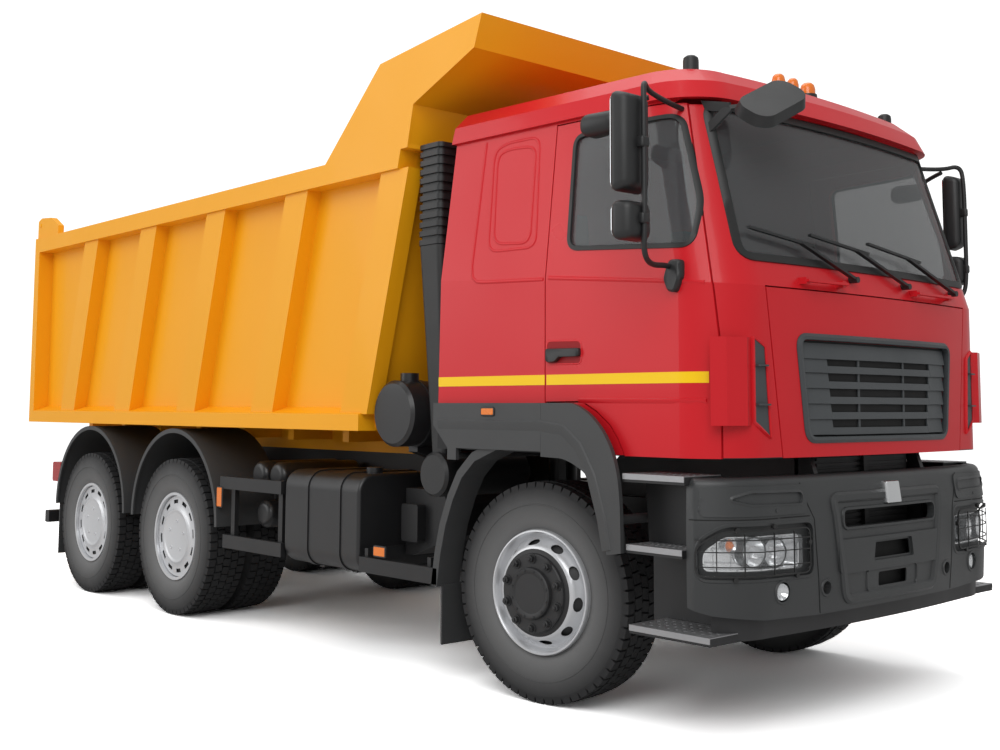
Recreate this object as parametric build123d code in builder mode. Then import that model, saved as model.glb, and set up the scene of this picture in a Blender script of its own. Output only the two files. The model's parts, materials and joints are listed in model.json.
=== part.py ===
from build123d import *
import os
from math import atan2, cos, degrees, radians, sin, sqrt

# Three-axle cab-over tipper lorry. Millimetres, +X forward, +Y to the truck's left, +Z up.
# The origin is on the ground under the middle of the overall length, and every x below is
# measured from the front axle, which stands at front_axle_x.

# ---------------------------------------------------------------- driving dimensions
front_overhang = 1360
wheelbase = 3550
bogie_spread = 1400
rear_overhang = 1290
overall_length = front_overhang + wheelbase + bogie_spread + rear_overhang
front_axle_x = overall_length / 2 - front_overhang
second_axle = -wheelbase
third_axle = -wheelbase - bogie_spread
tail_x = third_axle - rear_overhang

tyre_radius = 540
tyre_width = 304
bead_radius = 292
flange_radius = 302
axle_height = tyre_radius
front_track_half = 950
dual_outer = 1096
dual_spacing = 332
steer_rest = 6.5
kingpin_y = 845

frame_half_width = 430
rail_height = 270
rail_flange = 80
rail_wall = 9
rail_top = 975
subframe_top = 1145

cab_wall = 42
cab_bottom = 1228
cab_tilt_x = 1205
cab_tilt_z = 1105
seam = 7

body_half_width = 1250
body_wall = 12
body_floor_z = 1308
body_rail_top = 2905
rib_pitch = 1022
rib_count = 5

hinge_x = third_axle - 650
hinge_z = 1080
hinge_pin_radius = 32
pin_play = 0.05
joint_gap = 5


# ---------------------------------------------------------------- drawing planes
def side_plane(y, x=0.0):
    """Plane seen from the truck's right side: local x forward, local y up."""
    return Plane(origin=(front_axle_x + x, y, 0), x_dir=(1, 0, 0), z_dir=(0, -1, 0))


def cross_plane(x):
    """Plane across the truck: local x to the left, local y up, extruding forward."""
    return Plane(origin=(front_axle_x + x, 0, 0), x_dir=(0, 1, 0), z_dir=(1, 0, 0))


def level(z, x=0.0, y=0.0):
    """Horizontal plane at height z, its origin at the front axle's x."""
    return Plane(origin=(front_axle_x + x, y, z))


def at(x, y, z):
    """Point given from the front axle."""
    return (front_axle_x + x, y, z)


def save(builder, name):
    builder.part.label = name
    export_step(builder.part, "parts/" + name + ".step")


os.makedirs("parts", exist_ok=True)

# ---------------------------------------------------------------- chassis frame
rail_front_x = 1090
rail_rear_x = tail_x + 500
rail_middle_z = rail_top - rail_height / 2
cross_members = [-480, -1650, -2650, -4250, -5350]
cross_member_length = 90
cross_member_height = 110
bumper_bracket_front = 1235
bumper_plate = 22
tilt_ear_radius = 36
tilt_pin_radius = 20
tilt_lug_thick = 30
tow_beam_z = 640
tow_beam_size = 110
underrun_x = tail_x + 330
underrun_z = 520
underrun_half = 1190
hoist_x = -920
hoist_z = 850
hoist_pin_radius = 30
hoist_eye_half = 60
hoist_ear = 26
hoist_ear_gap = 5

with BuildPart() as chassis_frame:
    with BuildSketch(cross_plane(rail_rear_x)):
        with Locations((-frame_half_width + rail_flange / 2, rail_middle_z)):
            Rectangle(rail_flange, rail_height)
        with Locations((-frame_half_width + rail_flange / 2 + rail_wall, rail_middle_z)):
            Rectangle(rail_flange, rail_height - 2 * rail_wall, mode=Mode.SUBTRACT)
    extrude(amount=rail_front_x - rail_rear_x)
    # plates that carry the bumper, with the tow beam between them
    with BuildSketch(side_plane(-frame_half_width)):
        with BuildLine():
            Polyline((rail_front_x - 260, rail_top - 40), (rail_front_x, rail_top - 20),
                     (bumper_bracket_front, rail_top - 60), (bumper_bracket_front, tow_beam_z - 60),
                     (rail_front_x + 20, tow_beam_z - 60), (rail_front_x - 260, rail_top - rail_height + 20),
                     close=True)
        make_face()
    extrude(amount=bumper_plate)
    # ears on the same plates with the two pins that the cab tilts on
    with BuildSketch(side_plane(-frame_half_width)):
        Polygon((rail_front_x + 20, rail_top - 60), (bumper_bracket_front - 5, rail_top - 80),
                (cab_tilt_x + tilt_ear_radius, cab_tilt_z), (cab_tilt_x - tilt_ear_radius, cab_tilt_z), align=None)
        with Locations((cab_tilt_x, cab_tilt_z)):
            Circle(tilt_ear_radius)
    extrude(amount=bumper_plate)
    with BuildSketch(side_plane(-frame_half_width)):
        with Locations((cab_tilt_x, cab_tilt_z)):
            Circle(tilt_pin_radius)
    extrude(amount=bumper_plate + 2 * joint_gap + tilt_lug_thick)
    mirror(about=Plane.XZ)
    with BuildSketch(side_plane(frame_half_width)):
        with Locations((bumper_bracket_front - tow_beam_size / 2, tow_beam_z)):
            Rectangle(tow_beam_size, tow_beam_size)
    extrude(amount=2 * frame_half_width)
    # cross members high in the rails, so that the shafts pass below them
    for member_x in cross_members:
        with BuildSketch(cross_plane(member_x - cross_member_length / 2)):
            with Locations((0, rail_top - rail_wall - cross_member_height / 2)):
                Rectangle(2 * (frame_half_width - rail_wall), cross_member_height)
        extrude(amount=cross_member_length)
    # hoist cradle: a beam low between the rails with two ears and the hoist's bottom pin
    with BuildSketch(cross_plane(hoist_x - 80)):
        with Locations((0, rail_top - rail_height + 40)):
            Rectangle(2 * (frame_half_width - rail_wall), 62)
    extrude(amount=160)
    with BuildSketch(side_plane(-(hoist_eye_half + hoist_ear_gap))):
        with BuildLine():
            Polyline((hoist_x - 75, rail_top - rail_height + 60), (hoist_x + 75, rail_top - rail_height + 60),
                     (hoist_x + 48, hoist_z), (hoist_x - 48, hoist_z), close=True)
        make_face()
        with Locations((hoist_x, hoist_z)):
            Circle(48)
    extrude(amount=hoist_ear)
    mirror(about=Plane.XZ)
    with BuildSketch(side_plane(hoist_eye_half + hoist_ear_gap + hoist_ear)):
        with Locations((hoist_x, hoist_z)):
            Circle(hoist_pin_radius)
    extrude(amount=2 * (hoist_eye_half + hoist_ear_gap + hoist_ear))
    # rear underrun bar on its two drop arms
    with BuildSketch(side_plane(-frame_half_width + rail_flange)):
        with BuildLine():
            Polyline((rail_rear_x + 2, rail_top - rail_height + 8), (rail_rear_x + 160, rail_top - rail_height + 8),
                     (underrun_x + 70, underrun_z - 45), (underrun_x, underrun_z - 45),
                     (underrun_x, underrun_z + 45), close=True)
        make_face()
    extrude(amount=rail_flange)
    mirror(about=Plane.XZ)
    with BuildSketch(side_plane(underrun_half)):
        with Locations((underrun_x, underrun_z)):
            RectangleRounded(80, 100, 12)
    extrude(amount=2 * underrun_half)
save(chassis_frame, "chassis_frame")

# ---------------------------------------------------------------- tipping subframe with the rear hinge pins
subframe_front_x = -1180
subframe_height = subframe_top - rail_top
hinge_plate = 30
hinge_plate_radius = 75
lug_gap = 5
lug_width = 70
subframe_rear_x = hinge_x + 115

with BuildPart() as subframe:
    with BuildSketch(cross_plane(subframe_rear_x)):
        with Locations((-frame_half_width + rail_flange / 2, rail_top + subframe_height / 2)):
            Rectangle(rail_flange, subframe_height)
    extrude(amount=subframe_front_x - subframe_rear_x)
    with BuildSketch(side_plane(-frame_half_width)):
        with BuildLine():
            Polyline((hinge_x + 330, subframe_top - 20), (hinge_x + 60, subframe_top - 5),
                     (hinge_x - 75, hinge_z), (hinge_x - 75, rail_top - 150),
                     (hinge_x + 330, rail_top - 150), close=True)
        make_face()
        with Locations((hinge_x, hinge_z)):
            Circle(hinge_plate_radius)
    extrude(amount=hinge_plate)
    with BuildSketch(side_plane(-frame_half_width)):
        with Locations((hinge_x, hinge_z)):
            Circle(hinge_pin_radius)
    extrude(amount=-(lug_width + 2 * lug_gap))
    mirror(about=Plane.XZ)
    for member_x in cross_members[1:-1]:
        with BuildSketch(cross_plane(member_x - cross_member_length / 2)):
            with Locations((0, rail_top + subframe_height / 2)):
                Rectangle(2 * frame_half_width - rail_flange, subframe_height - 50)
        extrude(amount=cross_member_length)
save(subframe, "subframe")

# ---------------------------------------------------------------- engine, gearbox stub and radiator
engine_rear_x = -380
engine_front_x = 985
engine_half_width = 300
engine_low = 590
engine_high = 1405
radiator_x = rail_front_x
radiator_depth = 75
radiator_half_width = 420
radiator_low = 722
radiator_high = 1262

with BuildPart() as engine_block:
    with BuildSketch(side_plane(-engine_half_width)):
        with BuildLine():
            Polyline((engine_rear_x, engine_high - 420), (engine_rear_x + 330, engine_high - 120),
                     (engine_rear_x + 400, engine_high), (engine_front_x, engine_high),
                     (engine_front_x, engine_low + 120), (engine_front_x - 120, engine_low),
                     (engine_rear_x, engine_low), close=True)
        make_face()
    extrude(amount=-2 * engine_half_width)
save(engine_block, "engine_block")

with BuildPart() as radiator:
    with BuildSketch(cross_plane(radiator_x)):
        with Locations((0, (radiator_low + radiator_high) / 2)):
            RectangleRounded(2 * radiator_half_width, radiator_high - radiator_low, 25)
    extrude(amount=radiator_depth)
    with BuildSketch(cross_plane(radiator_x + radiator_depth)):
        with GridLocations(0, (radiator_high - radiator_low) / 20, 1, 19):
            with Locations((0, (radiator_low + radiator_high) / 2)):
                Rectangle(2 * radiator_half_width - 60, 14)
    extrude(amount=8)
    # centre post that stands in front of the fins
    with BuildSketch(cross_plane(radiator_x + radiator_depth)):
        with Locations((0, (radiator_low + radiator_high) / 2)):
            Rectangle(36, radiator_high - radiator_low - 20)
    extrude(amount=26)
save(radiator, "radiator")

# ---------------------------------------------------------------- front axle beam and springs
beam_half = kingpin_y
beam_width = 100
kingpin_radius = 26
eye_half_height = 52
spring_y = 390
spring_width = 78
spring_half_length = 780
spring_eye_z = 668

with BuildPart() as front_axle_beam:
    with BuildSketch(cross_plane(-beam_width / 2)):
        with BuildLine():
            Polyline((-beam_half, axle_height + eye_half_height), (-beam_half + 90, axle_height + eye_half_height),
                     (-beam_half + 250, axle_height - 12), (beam_half - 250, axle_height - 12),
                     (beam_half - 90, axle_height + eye_half_height), (beam_half, axle_height + eye_half_height),
                     (beam_half, axle_height - eye_half_height), (beam_half - 100, axle_height - eye_half_height),
                     (beam_half - 270, axle_height - 122), (-beam_half + 270, axle_height - 122),
                     (-beam_half + 100, axle_height - eye_half_height),
                     (-beam_half, axle_height - eye_half_height), close=True)
        make_face()
    extrude(amount=beam_width)
    with BuildSketch(level(axle_height - eye_half_height)):
        with Locations((0, -kingpin_y), (0, kingpin_y)):
            Circle(58)
    extrude(amount=2 * eye_half_height)
    with BuildSketch(level(axle_height - eye_half_height - 50)):
        with Locations((0, -kingpin_y), (0, kingpin_y)):
            Circle(kingpin_radius)
    extrude(amount=2 * eye_half_height + 100)
save(front_axle_beam, "front_axle_beam")

with BuildPart() as front_springs:
    with BuildSketch(side_plane(-spring_y - spring_width / 2)):
        with BuildLine():
            ThreePointArc((-spring_half_length, spring_eye_z - 14), (0, axle_height - 12),
                          (spring_half_length, spring_eye_z - 14))
            Line((spring_half_length, spring_eye_z - 14), (spring_half_length, spring_eye_z + 10))
            ThreePointArc((spring_half_length, spring_eye_z + 10), (0, axle_height + 92),
                          (-spring_half_length, spring_eye_z + 10))
            Line((-spring_half_length, spring_eye_z + 10), (-spring_half_length, spring_eye_z - 14))
        make_face()
        with Locations((-spring_half_length, spring_eye_z), (spring_half_length, spring_eye_z)):
            Circle(26)
        # hangers under the frame rail
        with Locations((-spring_half_length, (spring_eye_z + rail_top - rail_height) / 2),
                       (spring_half_length, (spring_eye_z + rail_top - rail_height) / 2)):
            Rectangle(70, rail_top - rail_height - spring_eye_z)
    extrude(amount=-spring_width)
    mirror(about=Plane.XZ)
save(front_springs, "front_springs")

# ---------------------------------------------------------------- rear bogie: two drive axles, springs and shafts
bogie_x = (second_axle + third_axle) / 2
tube_radius = 78
spindle_radius = 62
spindle_start = 600
spindle_end = dual_outer + 60
housing_radius = 212
housing_half = 160
nose_reach = 270
shaft_z = axle_height + 60
rear_spring_y = 482
rear_spring_width = 84
rear_spring_seat = axle_height + 115

with BuildPart() as drive_axles:
    for axle_x in (second_axle, third_axle):
        with BuildSketch(side_plane(spindle_end, axle_x)):
            with Locations((0, axle_height)):
                Circle(spindle_radius)
        extrude(amount=2 * spindle_end)
        with BuildSketch(side_plane(spindle_start, axle_x)):
            with Locations((0, axle_height)):
                Circle(tube_radius)
        extrude(amount=2 * spindle_start)
        # differential housing, turned about the axle line, and its pinion nose
        with BuildSketch(cross_plane(axle_x)):
            with BuildLine():
                Polyline((-housing_half, axle_height), (-housing_half, axle_height + 140),
                         (-housing_half + 70, axle_height + housing_radius),
                         (housing_half - 70, axle_height + housing_radius),
                         (housing_half, axle_height + 140), (housing_half, axle_height), close=True)
            make_face()
        revolve(axis=Axis(at(axle_x, 0, axle_height), (0, 1, 0)))
        with BuildSketch(cross_plane(axle_x - nose_reach + 30)):
            with Locations((0, shaft_z)):
                Circle(92)
        extrude(amount=2 * nose_reach - 30)
        # spring pads
        with BuildSketch(cross_plane(axle_x - 70)):
            with Locations((-rear_spring_y, (axle_height + rear_spring_seat) / 2),
                           (rear_spring_y, (axle_height + rear_spring_seat) / 2)):
                Rectangle(rear_spring_width, rear_spring_seat - axle_height)
        extrude(amount=140)
save(drive_axles, "drive_axles")

with BuildPart() as rear_springs:
    with BuildSketch(side_plane(-rear_spring_y - rear_spring_width / 2, bogie_x)):
        with BuildLine():
            ThreePointArc((-bogie_spread / 2 - 75, rear_spring_seat), (0, rear_spring_seat + 70),
                          (bogie_spread / 2 + 75, rear_spring_seat))
            Line((bogie_spread / 2 + 75, rear_spring_seat), (bogie_spread / 2 + 75, rear_spring_seat + 24))
            ThreePointArc((bogie_spread / 2 + 75, rear_spring_seat + 24), (0, rear_spring_seat + 175),
                          (-bogie_spread / 2 - 75, rear_spring_seat + 24))
            Line((-bogie_spread / 2 - 75, rear_spring_seat + 24), (-bogie_spread / 2 - 75, rear_spring_seat))
        make_face()
        # saddle below the pack
        with Locations((0, rear_spring_seat + 10)):
            Rectangle(200, 150)
    extrude(amount=-rear_spring_width)
    # trunnion bracket under the rail
    with BuildSketch(side_plane(-rear_spring_y, bogie_x)):
        with BuildLine():
            Polyline((-170, rail_top - rail_height), (170, rail_top - rail_height), (75, rear_spring_seat - 60),
                     (-75, rear_spring_seat - 60), close=True)
        make_face()
    extrude(amount=-(rear_spring_y - frame_half_width + rail_flange))
    mirror(about=Plane.XZ)
save(rear_springs, "rear_springs")

shaft_radius = 46
shaft_flange = 72

with BuildPart() as propshafts:
    for start_x, end_x in ((engine_rear_x, second_axle + nose_reach),
                           (second_axle - nose_reach + 30, third_axle + nose_reach)):
        with BuildSketch(cross_plane(end_x)):
            with Locations((0, shaft_z)):
                Circle(shaft_radius)
        extrude(amount=start_x - end_x)
        for flange_x in (end_x, start_x - 25):
            with BuildSketch(cross_plane(flange_x)):
                with Locations((0, shaft_z)):
                    Circle(shaft_flange)
            extrude(amount=25)
save(propshafts, "propshafts")

# ---------------------------------------------------------------- wheels
wheel_sides = (("right", -1), ("left", 1))
tyre_half = tyre_width / 2
bead_half = 116
rim_half = 128
rim_well_radius = 250
bolt_circle = 335


def wheel_plane(axle_x, half_track, side, turn=0.0):
    """Plane through a wheel's centre: local x points up and local y outwards along the axle."""
    reach = half_track - kingpin_y
    angle = radians(turn)
    centre_x = axle_x - side * reach * sin(angle)
    centre_y = side * (kingpin_y + reach * cos(angle))
    if turn == 0.0:
        centre_x = axle_x
        centre_y = side * half_track
    across = Vector(-side * sin(angle), side * cos(angle), 0)
    up = Vector(0, 0, 1)
    return Plane(origin=at(centre_x, centre_y, axle_height), x_dir=up, z_dir=up.cross(across))


def outward_axis(plane):
    return Axis(plane.origin, plane.y_dir)


def tyre_ring(plane, centre=0.0):
    """Tyre section turned about the axle: beads, bulged side walls, shoulders and a flat tread."""
    with BuildPart() as ring:
        with BuildSketch(plane):
            with BuildLine():
                for flank in (-1, 1):
                    Line((bead_radius, centre), (bead_radius, centre + flank * bead_half))
                    Line((bead_radius, centre + flank * bead_half), (flange_radius + 6, centre + flank * bead_half))
                    ThreePointArc((flange_radius + 6, centre + flank * bead_half),
                                  (420, centre + flank * tyre_half), (508, centre + flank * (tyre_half - 18)))
                    Line((508, centre + flank * (tyre_half - 18)), (tyre_radius - 4, centre + flank * 118))
                    Line((tyre_radius - 4, centre + flank * 118), (tyre_radius, centre + flank * 70))
                    Line((tyre_radius, centre + flank * 70), (tyre_radius, centre))
            make_face()
        revolve(axis=outward_axis(plane))
    return ring.part


def rim_section(plane, centre, outboard, disc_at, hub_radius):
    """Drop-centre rim with its disc: the disc meets the well at disc_at and reaches in to hub_radius."""
    wall = 9
    well = rim_well_radius
    seat = bead_radius
    with BuildSketch(plane) as section:
        with BuildLine():
            Polyline((flange_radius, centre - rim_half), (flange_radius, centre - bead_half),
                     (seat, centre - bead_half), (seat, centre - 70), (well, centre - 30),
                     (well, centre + 30), (seat, centre + 70), (seat, centre + bead_half),
                     (flange_radius, centre + bead_half), (flange_radius, centre + rim_half),
                     (seat - wall, centre + rim_half), (seat - wall, centre + 74),
                     (well - wall, centre + 34), (well - wall, centre - 34), (seat - wall, centre - 74),
                     (seat - wall, centre - rim_half), close=True)
        make_face()
        with BuildLine():
            Polyline((seat - 3, centre + outboard * 74), (seat - 3, centre + outboard * 96),
                     (215, disc_at), (hub_radius, disc_at), (hub_radius, disc_at - outboard * 16),
                     (208, disc_at - outboard * 16), close=True)
        make_face()
    return section.sketch


front_disc = 64
front_hub_radius = 132
front_hub_out = 118
drum_radius = 200
drum_depth = 60
spindle_front_radius = 42
hand_hole_radius = 27
hand_hole_circle = 238

for side_name, side in wheel_sides:
    hub_plane = wheel_plane(0, front_track_half, side, steer_rest)
    outward = hub_plane.y_dir
    tyre = tyre_ring(hub_plane)
    tyre.label = "front_tyre_" + side_name
    export_step(tyre, "parts/front_tyre_" + side_name + ".step")

    with BuildPart() as front_rim:
        revolve(rim_section(hub_plane, 0, 1, front_disc, front_hub_radius - 20), axis=outward_axis(hub_plane))
        with BuildSketch(Plane(origin=hub_plane.origin + outward * 160, z_dir=outward)):
            with PolarLocations(hand_hole_circle, 10):
                Circle(hand_hole_radius)
        extrude(amount=-150, mode=Mode.SUBTRACT)
        # hub with its stepped cap, bored for the stub axle
        with BuildSketch(hub_plane):
            with BuildLine():
                Polyline((0, front_hub_out), (70, front_hub_out), (92, front_hub_out - 14), (128, front_hub_out - 20),
                         (front_hub_radius + 52, front_disc + 34), (front_hub_radius + 52, front_disc - 2),
                         (front_hub_radius, front_disc - 18), (front_hub_radius, 0), (drum_radius, 0),
                         (drum_radius, -drum_depth), (drum_radius - 14, -drum_depth), (drum_radius - 14, -14),
                         (spindle_front_radius + pin_play, -14), (spindle_front_radius + pin_play, 80),
                         (0, 80), close=True)
            make_face()
        revolve(axis=outward_axis(hub_plane))
        with BuildSketch(Plane(origin=hub_plane.origin + outward * (front_disc + 20), z_dir=outward)):
            with PolarLocations(bolt_circle / 2, 10):
                Circle(17)
        extrude(amount=28)
    save(front_rim, "front_rim_" + side_name)

dual_inner = dual_outer - dual_spacing
rear_disc_out = dual_outer - 104
rear_disc_in = dual_inner + 104

for axle_name, axle_x in (("middle", second_axle), ("rear", third_axle)):
    for side_name, side in wheel_sides:
        hub_plane = wheel_plane(axle_x, dual_outer, side)
        outward = hub_plane.y_dir
        with BuildPart() as rear_tyres:
            add(tyre_ring(hub_plane))
            add(tyre_ring(hub_plane, -dual_spacing))
        save(rear_tyres, axle_name + "_tyres_" + side_name)

        with BuildPart() as rear_rims:
            revolve(rim_section(hub_plane, 0, -1, -dual_spacing / 2 + 16, front_hub_radius - 10),
                    axis=outward_axis(hub_plane))
            revolve(rim_section(hub_plane, -dual_spacing, 1, -dual_spacing / 2 - 16, front_hub_radius - 10),
                    axis=outward_axis(hub_plane))
            # hub drum on the spindle
            with BuildSketch(hub_plane):
                with BuildLine():
                    Polyline((spindle_radius + pin_play, -430), (150, -430), (150, -dual_spacing / 2 - 30),
                             (165, -dual_spacing / 2 - 20), (165, -dual_spacing / 2 + 24),
                             (118, -dual_spacing / 2 + 24), (105, 92), (0, 92), (0, 70),
                             (spindle_radius + pin_play, 70), close=True)
                make_face()
            revolve(axis=outward_axis(hub_plane))
            with BuildSketch(Plane(origin=hub_plane.origin - outward * (dual_spacing / 2 - 20), z_dir=outward)):
                with PolarLocations(hand_hole_circle - 12, 10):
                    Circle(hand_hole_radius)
            extrude(amount=-60, mode=Mode.SUBTRACT)
        save(rear_rims, axle_name + "_rims_" + side_name)

# ---------------------------------------------------------------- steering knuckles and tie rod
knuckle_gap = 3
lug_thick = 40
web_in = 58
web_out = 82
arm_back = 185
arm_thick = 26
ball_pin_radius = 14
ball_pin_length = 46
steer_arm_z = axle_height - eye_half_height - knuckle_gap - lug_thick

for side_name, side in wheel_sides:
    outward = wheel_plane(0, front_track_half, side, steer_rest).y_dir
    pin_foot = Vector(at(0, side * kingpin_y, steer_arm_z))
    pin_plane = Plane(origin=pin_foot, x_dir=outward, z_dir=(0, 0, 1))
    knuckle_height = 2 * (eye_half_height + knuckle_gap + lug_thick)
    with BuildPart() as knuckle:
        for lug_level in (0, knuckle_height - lug_thick):
            with BuildSketch(pin_plane.offset(lug_level)):
                Circle(52)
                with Locations((web_out / 2, 0)):
                    Rectangle(web_out, 90)
                Circle(kingpin_radius + pin_play, mode=Mode.SUBTRACT)
            extrude(amount=lug_thick)
        # web outside the beam's eye joins the two lugs and carries the stub axle
        with BuildSketch(pin_plane):
            with Locations(((web_in + web_out) / 2, 0)):
                Rectangle(web_out - web_in, 104)
        extrude(amount=knuckle_height)
        with BuildSketch(Plane(origin=pin_foot + outward * web_in + Vector(0, 0, knuckle_height / 2), z_dir=outward)):
            Circle(spindle_front_radius)
        extrude(amount=front_track_half - kingpin_y + 74 - web_in)
        # steering arm back to the tie rod's ball pin
        with BuildSketch(pin_plane):
            with BuildLine():
                Polyline((-36, -side * 34), (30, -side * -34), (22, side * arm_back), (-22, side * arm_back),
                         (-36, side * 34), close=True)
            make_face()
            with Locations((0, side * arm_back)):
                Circle(26)
            Circle(kingpin_radius + pin_play, mode=Mode.SUBTRACT)
        extrude(amount=arm_thick)
        with BuildSketch(pin_plane.offset(-ball_pin_length)):
            with Locations((0, side * arm_back)):
                Circle(ball_pin_radius)
        extrude(amount=ball_pin_length)
    save(knuckle, "knuckle_" + side_name)

ball_back = arm_back * cos(radians(steer_rest))
ball_shift = arm_back * sin(radians(steer_rest))
rod_eye = 30

with BuildPart() as tie_rod:
    with BuildSketch(level(steer_arm_z - ball_pin_length + 4, -ball_back, -ball_shift)):
        with Locations((0, -kingpin_y), (0, kingpin_y)):
            Circle(rod_eye)
        Rectangle(30, 2 * kingpin_y - rod_eye)
        with Locations((0, -kingpin_y), (0, kingpin_y)):
            Circle(ball_pin_radius + pin_play, mode=Mode.SUBTRACT)
    extrude(amount=ball_pin_length - 8)
save(tie_rod, "tie_rod")

# ---------------------------------------------------------------- fuel tank on the right rail
tank_front = -1330
tank_rear = -2120
tank_low = 500
tank_high = 1060
tank_outer = 1222
tank_inner = 610
tank_corner = 105
strap_width = 48
strap_thick = 7
tank_straps = (-1530, -1870)

with BuildPart() as fuel_tank:
    with BuildSketch(cross_plane(tank_rear)):
        with Locations((-(tank_outer + tank_inner) / 2, (tank_low + tank_high) / 2)):
            RectangleRounded(tank_outer - tank_inner, tank_high - tank_low, tank_corner)
    extrude(amount=tank_front - tank_rear)
    fillet(fuel_tank.faces().group_by(Axis.X)[0].edges() + fuel_tank.faces().group_by(Axis.X)[-1].edges(), 22)
    for strap_x in tank_straps:
        with BuildSketch(cross_plane(strap_x - strap_width / 2)):
            with Locations((-(tank_outer + tank_inner) / 2, (tank_low + tank_high) / 2)):
                RectangleRounded(tank_outer - tank_inner + 2 * strap_thick,
                                 tank_high - tank_low + 2 * strap_thick, tank_corner + strap_thick)
        extrude(amount=strap_width)
        # bracket that carries the tank from the frame rail
        with BuildSketch(cross_plane(strap_x - strap_width / 2)):
            with BuildLine():
                Polyline((-frame_half_width, rail_top - 30), (-frame_half_width, tank_low - 20),
                         (-tank_outer + 120, tank_low - 20), (-tank_outer + 120, tank_low + 5),
                         (-tank_inner - 10, tank_low + 5), (-tank_inner - 10, rail_top - 30), close=True)
            make_face()
        extrude(amount=strap_width)
    with BuildSketch(level(tank_high - 5, tank_front - 110, -tank_outer + 190)):
        Circle(48)
    extrude(amount=38)
save(fuel_tank, "fuel_tank")

# ---------------------------------------------------------------- hydraulic tank across the frame behind the cab
hydraulic_x = -1050
hydraulic_z = 1410
hydraulic_radius = 185
hydraulic_outer = 1200
hydraulic_inner = 350

with BuildPart() as hydraulic_tank:
    with BuildSketch(side_plane(-hydraulic_inner, hydraulic_x)):
        with Locations((0, hydraulic_z)):
            Circle(hydraulic_radius)
    extrude(amount=hydraulic_outer - hydraulic_inner)
    chamfer(hydraulic_tank.edges().filter_by(GeomType.CIRCLE), 18)
    for band_y in (hydraulic_inner + 150, hydraulic_outer - 180):
        with BuildSketch(side_plane(-band_y, hydraulic_x)):
            with Locations((0, hydraulic_z)):
                Circle(hydraulic_radius + 6)
        extrude(amount=40)
    with BuildSketch(level(hydraulic_z + hydraulic_radius - 20, hydraulic_x, -hydraulic_outer + 120)):
        Circle(52)
    extrude(amount=62)
    # saddle on the frame rail with an arm out to the far end
    with BuildSketch(side_plane(-hydraulic_inner, hydraulic_x)):
        Polygon((-95, rail_top), (95, rail_top), (120, hydraulic_z - 120), (-120, hydraulic_z - 120), align=None)
    extrude(amount=frame_half_width - hydraulic_inner)
    with BuildSketch(cross_plane(hydraulic_x - 40)):
        with BuildLine():
            Polyline((-frame_half_width + 5, rail_top + 20), (-frame_half_width + 5, hydraulic_z - 120),
                     (-hydraulic_outer + 150, hydraulic_z - 120),
                     (-hydraulic_outer + 150, hydraulic_z - hydraulic_radius - 30), close=True)
        make_face()
    extrude(amount=80)
save(hydraulic_tank, "hydraulic_tank")

# ---------------------------------------------------------------- air cleaner drum and its intake tower
cleaner_x = -710
cleaner_z = 1085
cleaner_radius = 120
cleaner_outer = 1180
cleaner_inner = 560
tower_rear = -855
tower_front = -655
tower_top = 2870
tower_louvre_low = 2330
tower_outer = 1190
tower_inner = 950
louvre_count = 11
duct_low_z = 1180

with BuildPart() as air_cleaner:
    with BuildSketch(side_plane(-cleaner_inner, cleaner_x)):
        with Locations((0, cleaner_z)):
            Circle(cleaner_radius)
    extrude(amount=cleaner_outer - cleaner_inner)
    chamfer(air_cleaner.edges().filter_by(GeomType.CIRCLE), 16)
    # bracket to the frame rail
    with BuildSketch(cross_plane(cleaner_x - 40)):
        with Locations((-(frame_half_width + cleaner_inner + 30) / 2, rail_top - 60)):
            Rectangle(cleaner_inner + 30 - frame_half_width, 80)
    extrude(amount=80)
    with BuildSketch(cross_plane(cleaner_x - 40)):
        with Locations((-cleaner_inner - 25, (cleaner_z + rail_top - 100) / 2)):
            Rectangle(50, cleaner_z - rail_top + 100)
    extrude(amount=80)
    # smooth duct that narrows from the louvred head down to the drum
    with BuildSketch(level(duct_low_z, cleaner_x - 15, -(tower_outer + tower_inner) / 2)):
        RectangleRounded(120, 130, 30)
    with BuildSketch(level(tower_louvre_low, (tower_rear + tower_front) / 2, -(tower_outer + tower_inner) / 2)):
        RectangleRounded(tower_front - tower_rear - 8, tower_outer - tower_inner - 8, 34)
    loft(ruled=True)
    with BuildSketch(level(tower_louvre_low, (tower_rear + tower_front) / 2, -(tower_outer + tower_inner) / 2)):
        RectangleRounded(tower_front - tower_rear - 26, tower_outer - tower_inner - 26, 26)
    extrude(amount=tower_top - tower_louvre_low)
    louvre_pitch = (tower_top - tower_louvre_low) / louvre_count
    for louvre in range(louvre_count):
        with BuildSketch(level(tower_louvre_low + louvre * louvre_pitch + 4, (tower_rear + tower_front) / 2,
                               -(tower_outer + tower_inner) / 2)):
            RectangleRounded(tower_front - tower_rear, tower_outer - tower_inner, 34)
        extrude(amount=louvre_pitch * 0.6)
    with BuildSketch(level(tower_top, (tower_rear + tower_front) / 2, -(tower_outer + tower_inner) / 2)):
        RectangleRounded(tower_front - tower_rear, tower_outer - tower_inner, 34)
    extrude(amount=26)
save(air_cleaner, "air_cleaner")

# ---------------------------------------------------------------- air tanks ahead of the rear wheels
air_tank_radius = 90
air_tank_outer = 1100
air_tank_inner = 470
air_tank_places = ((-2650, 1000), (-2430, 1000), (-2580, 750))

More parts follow.
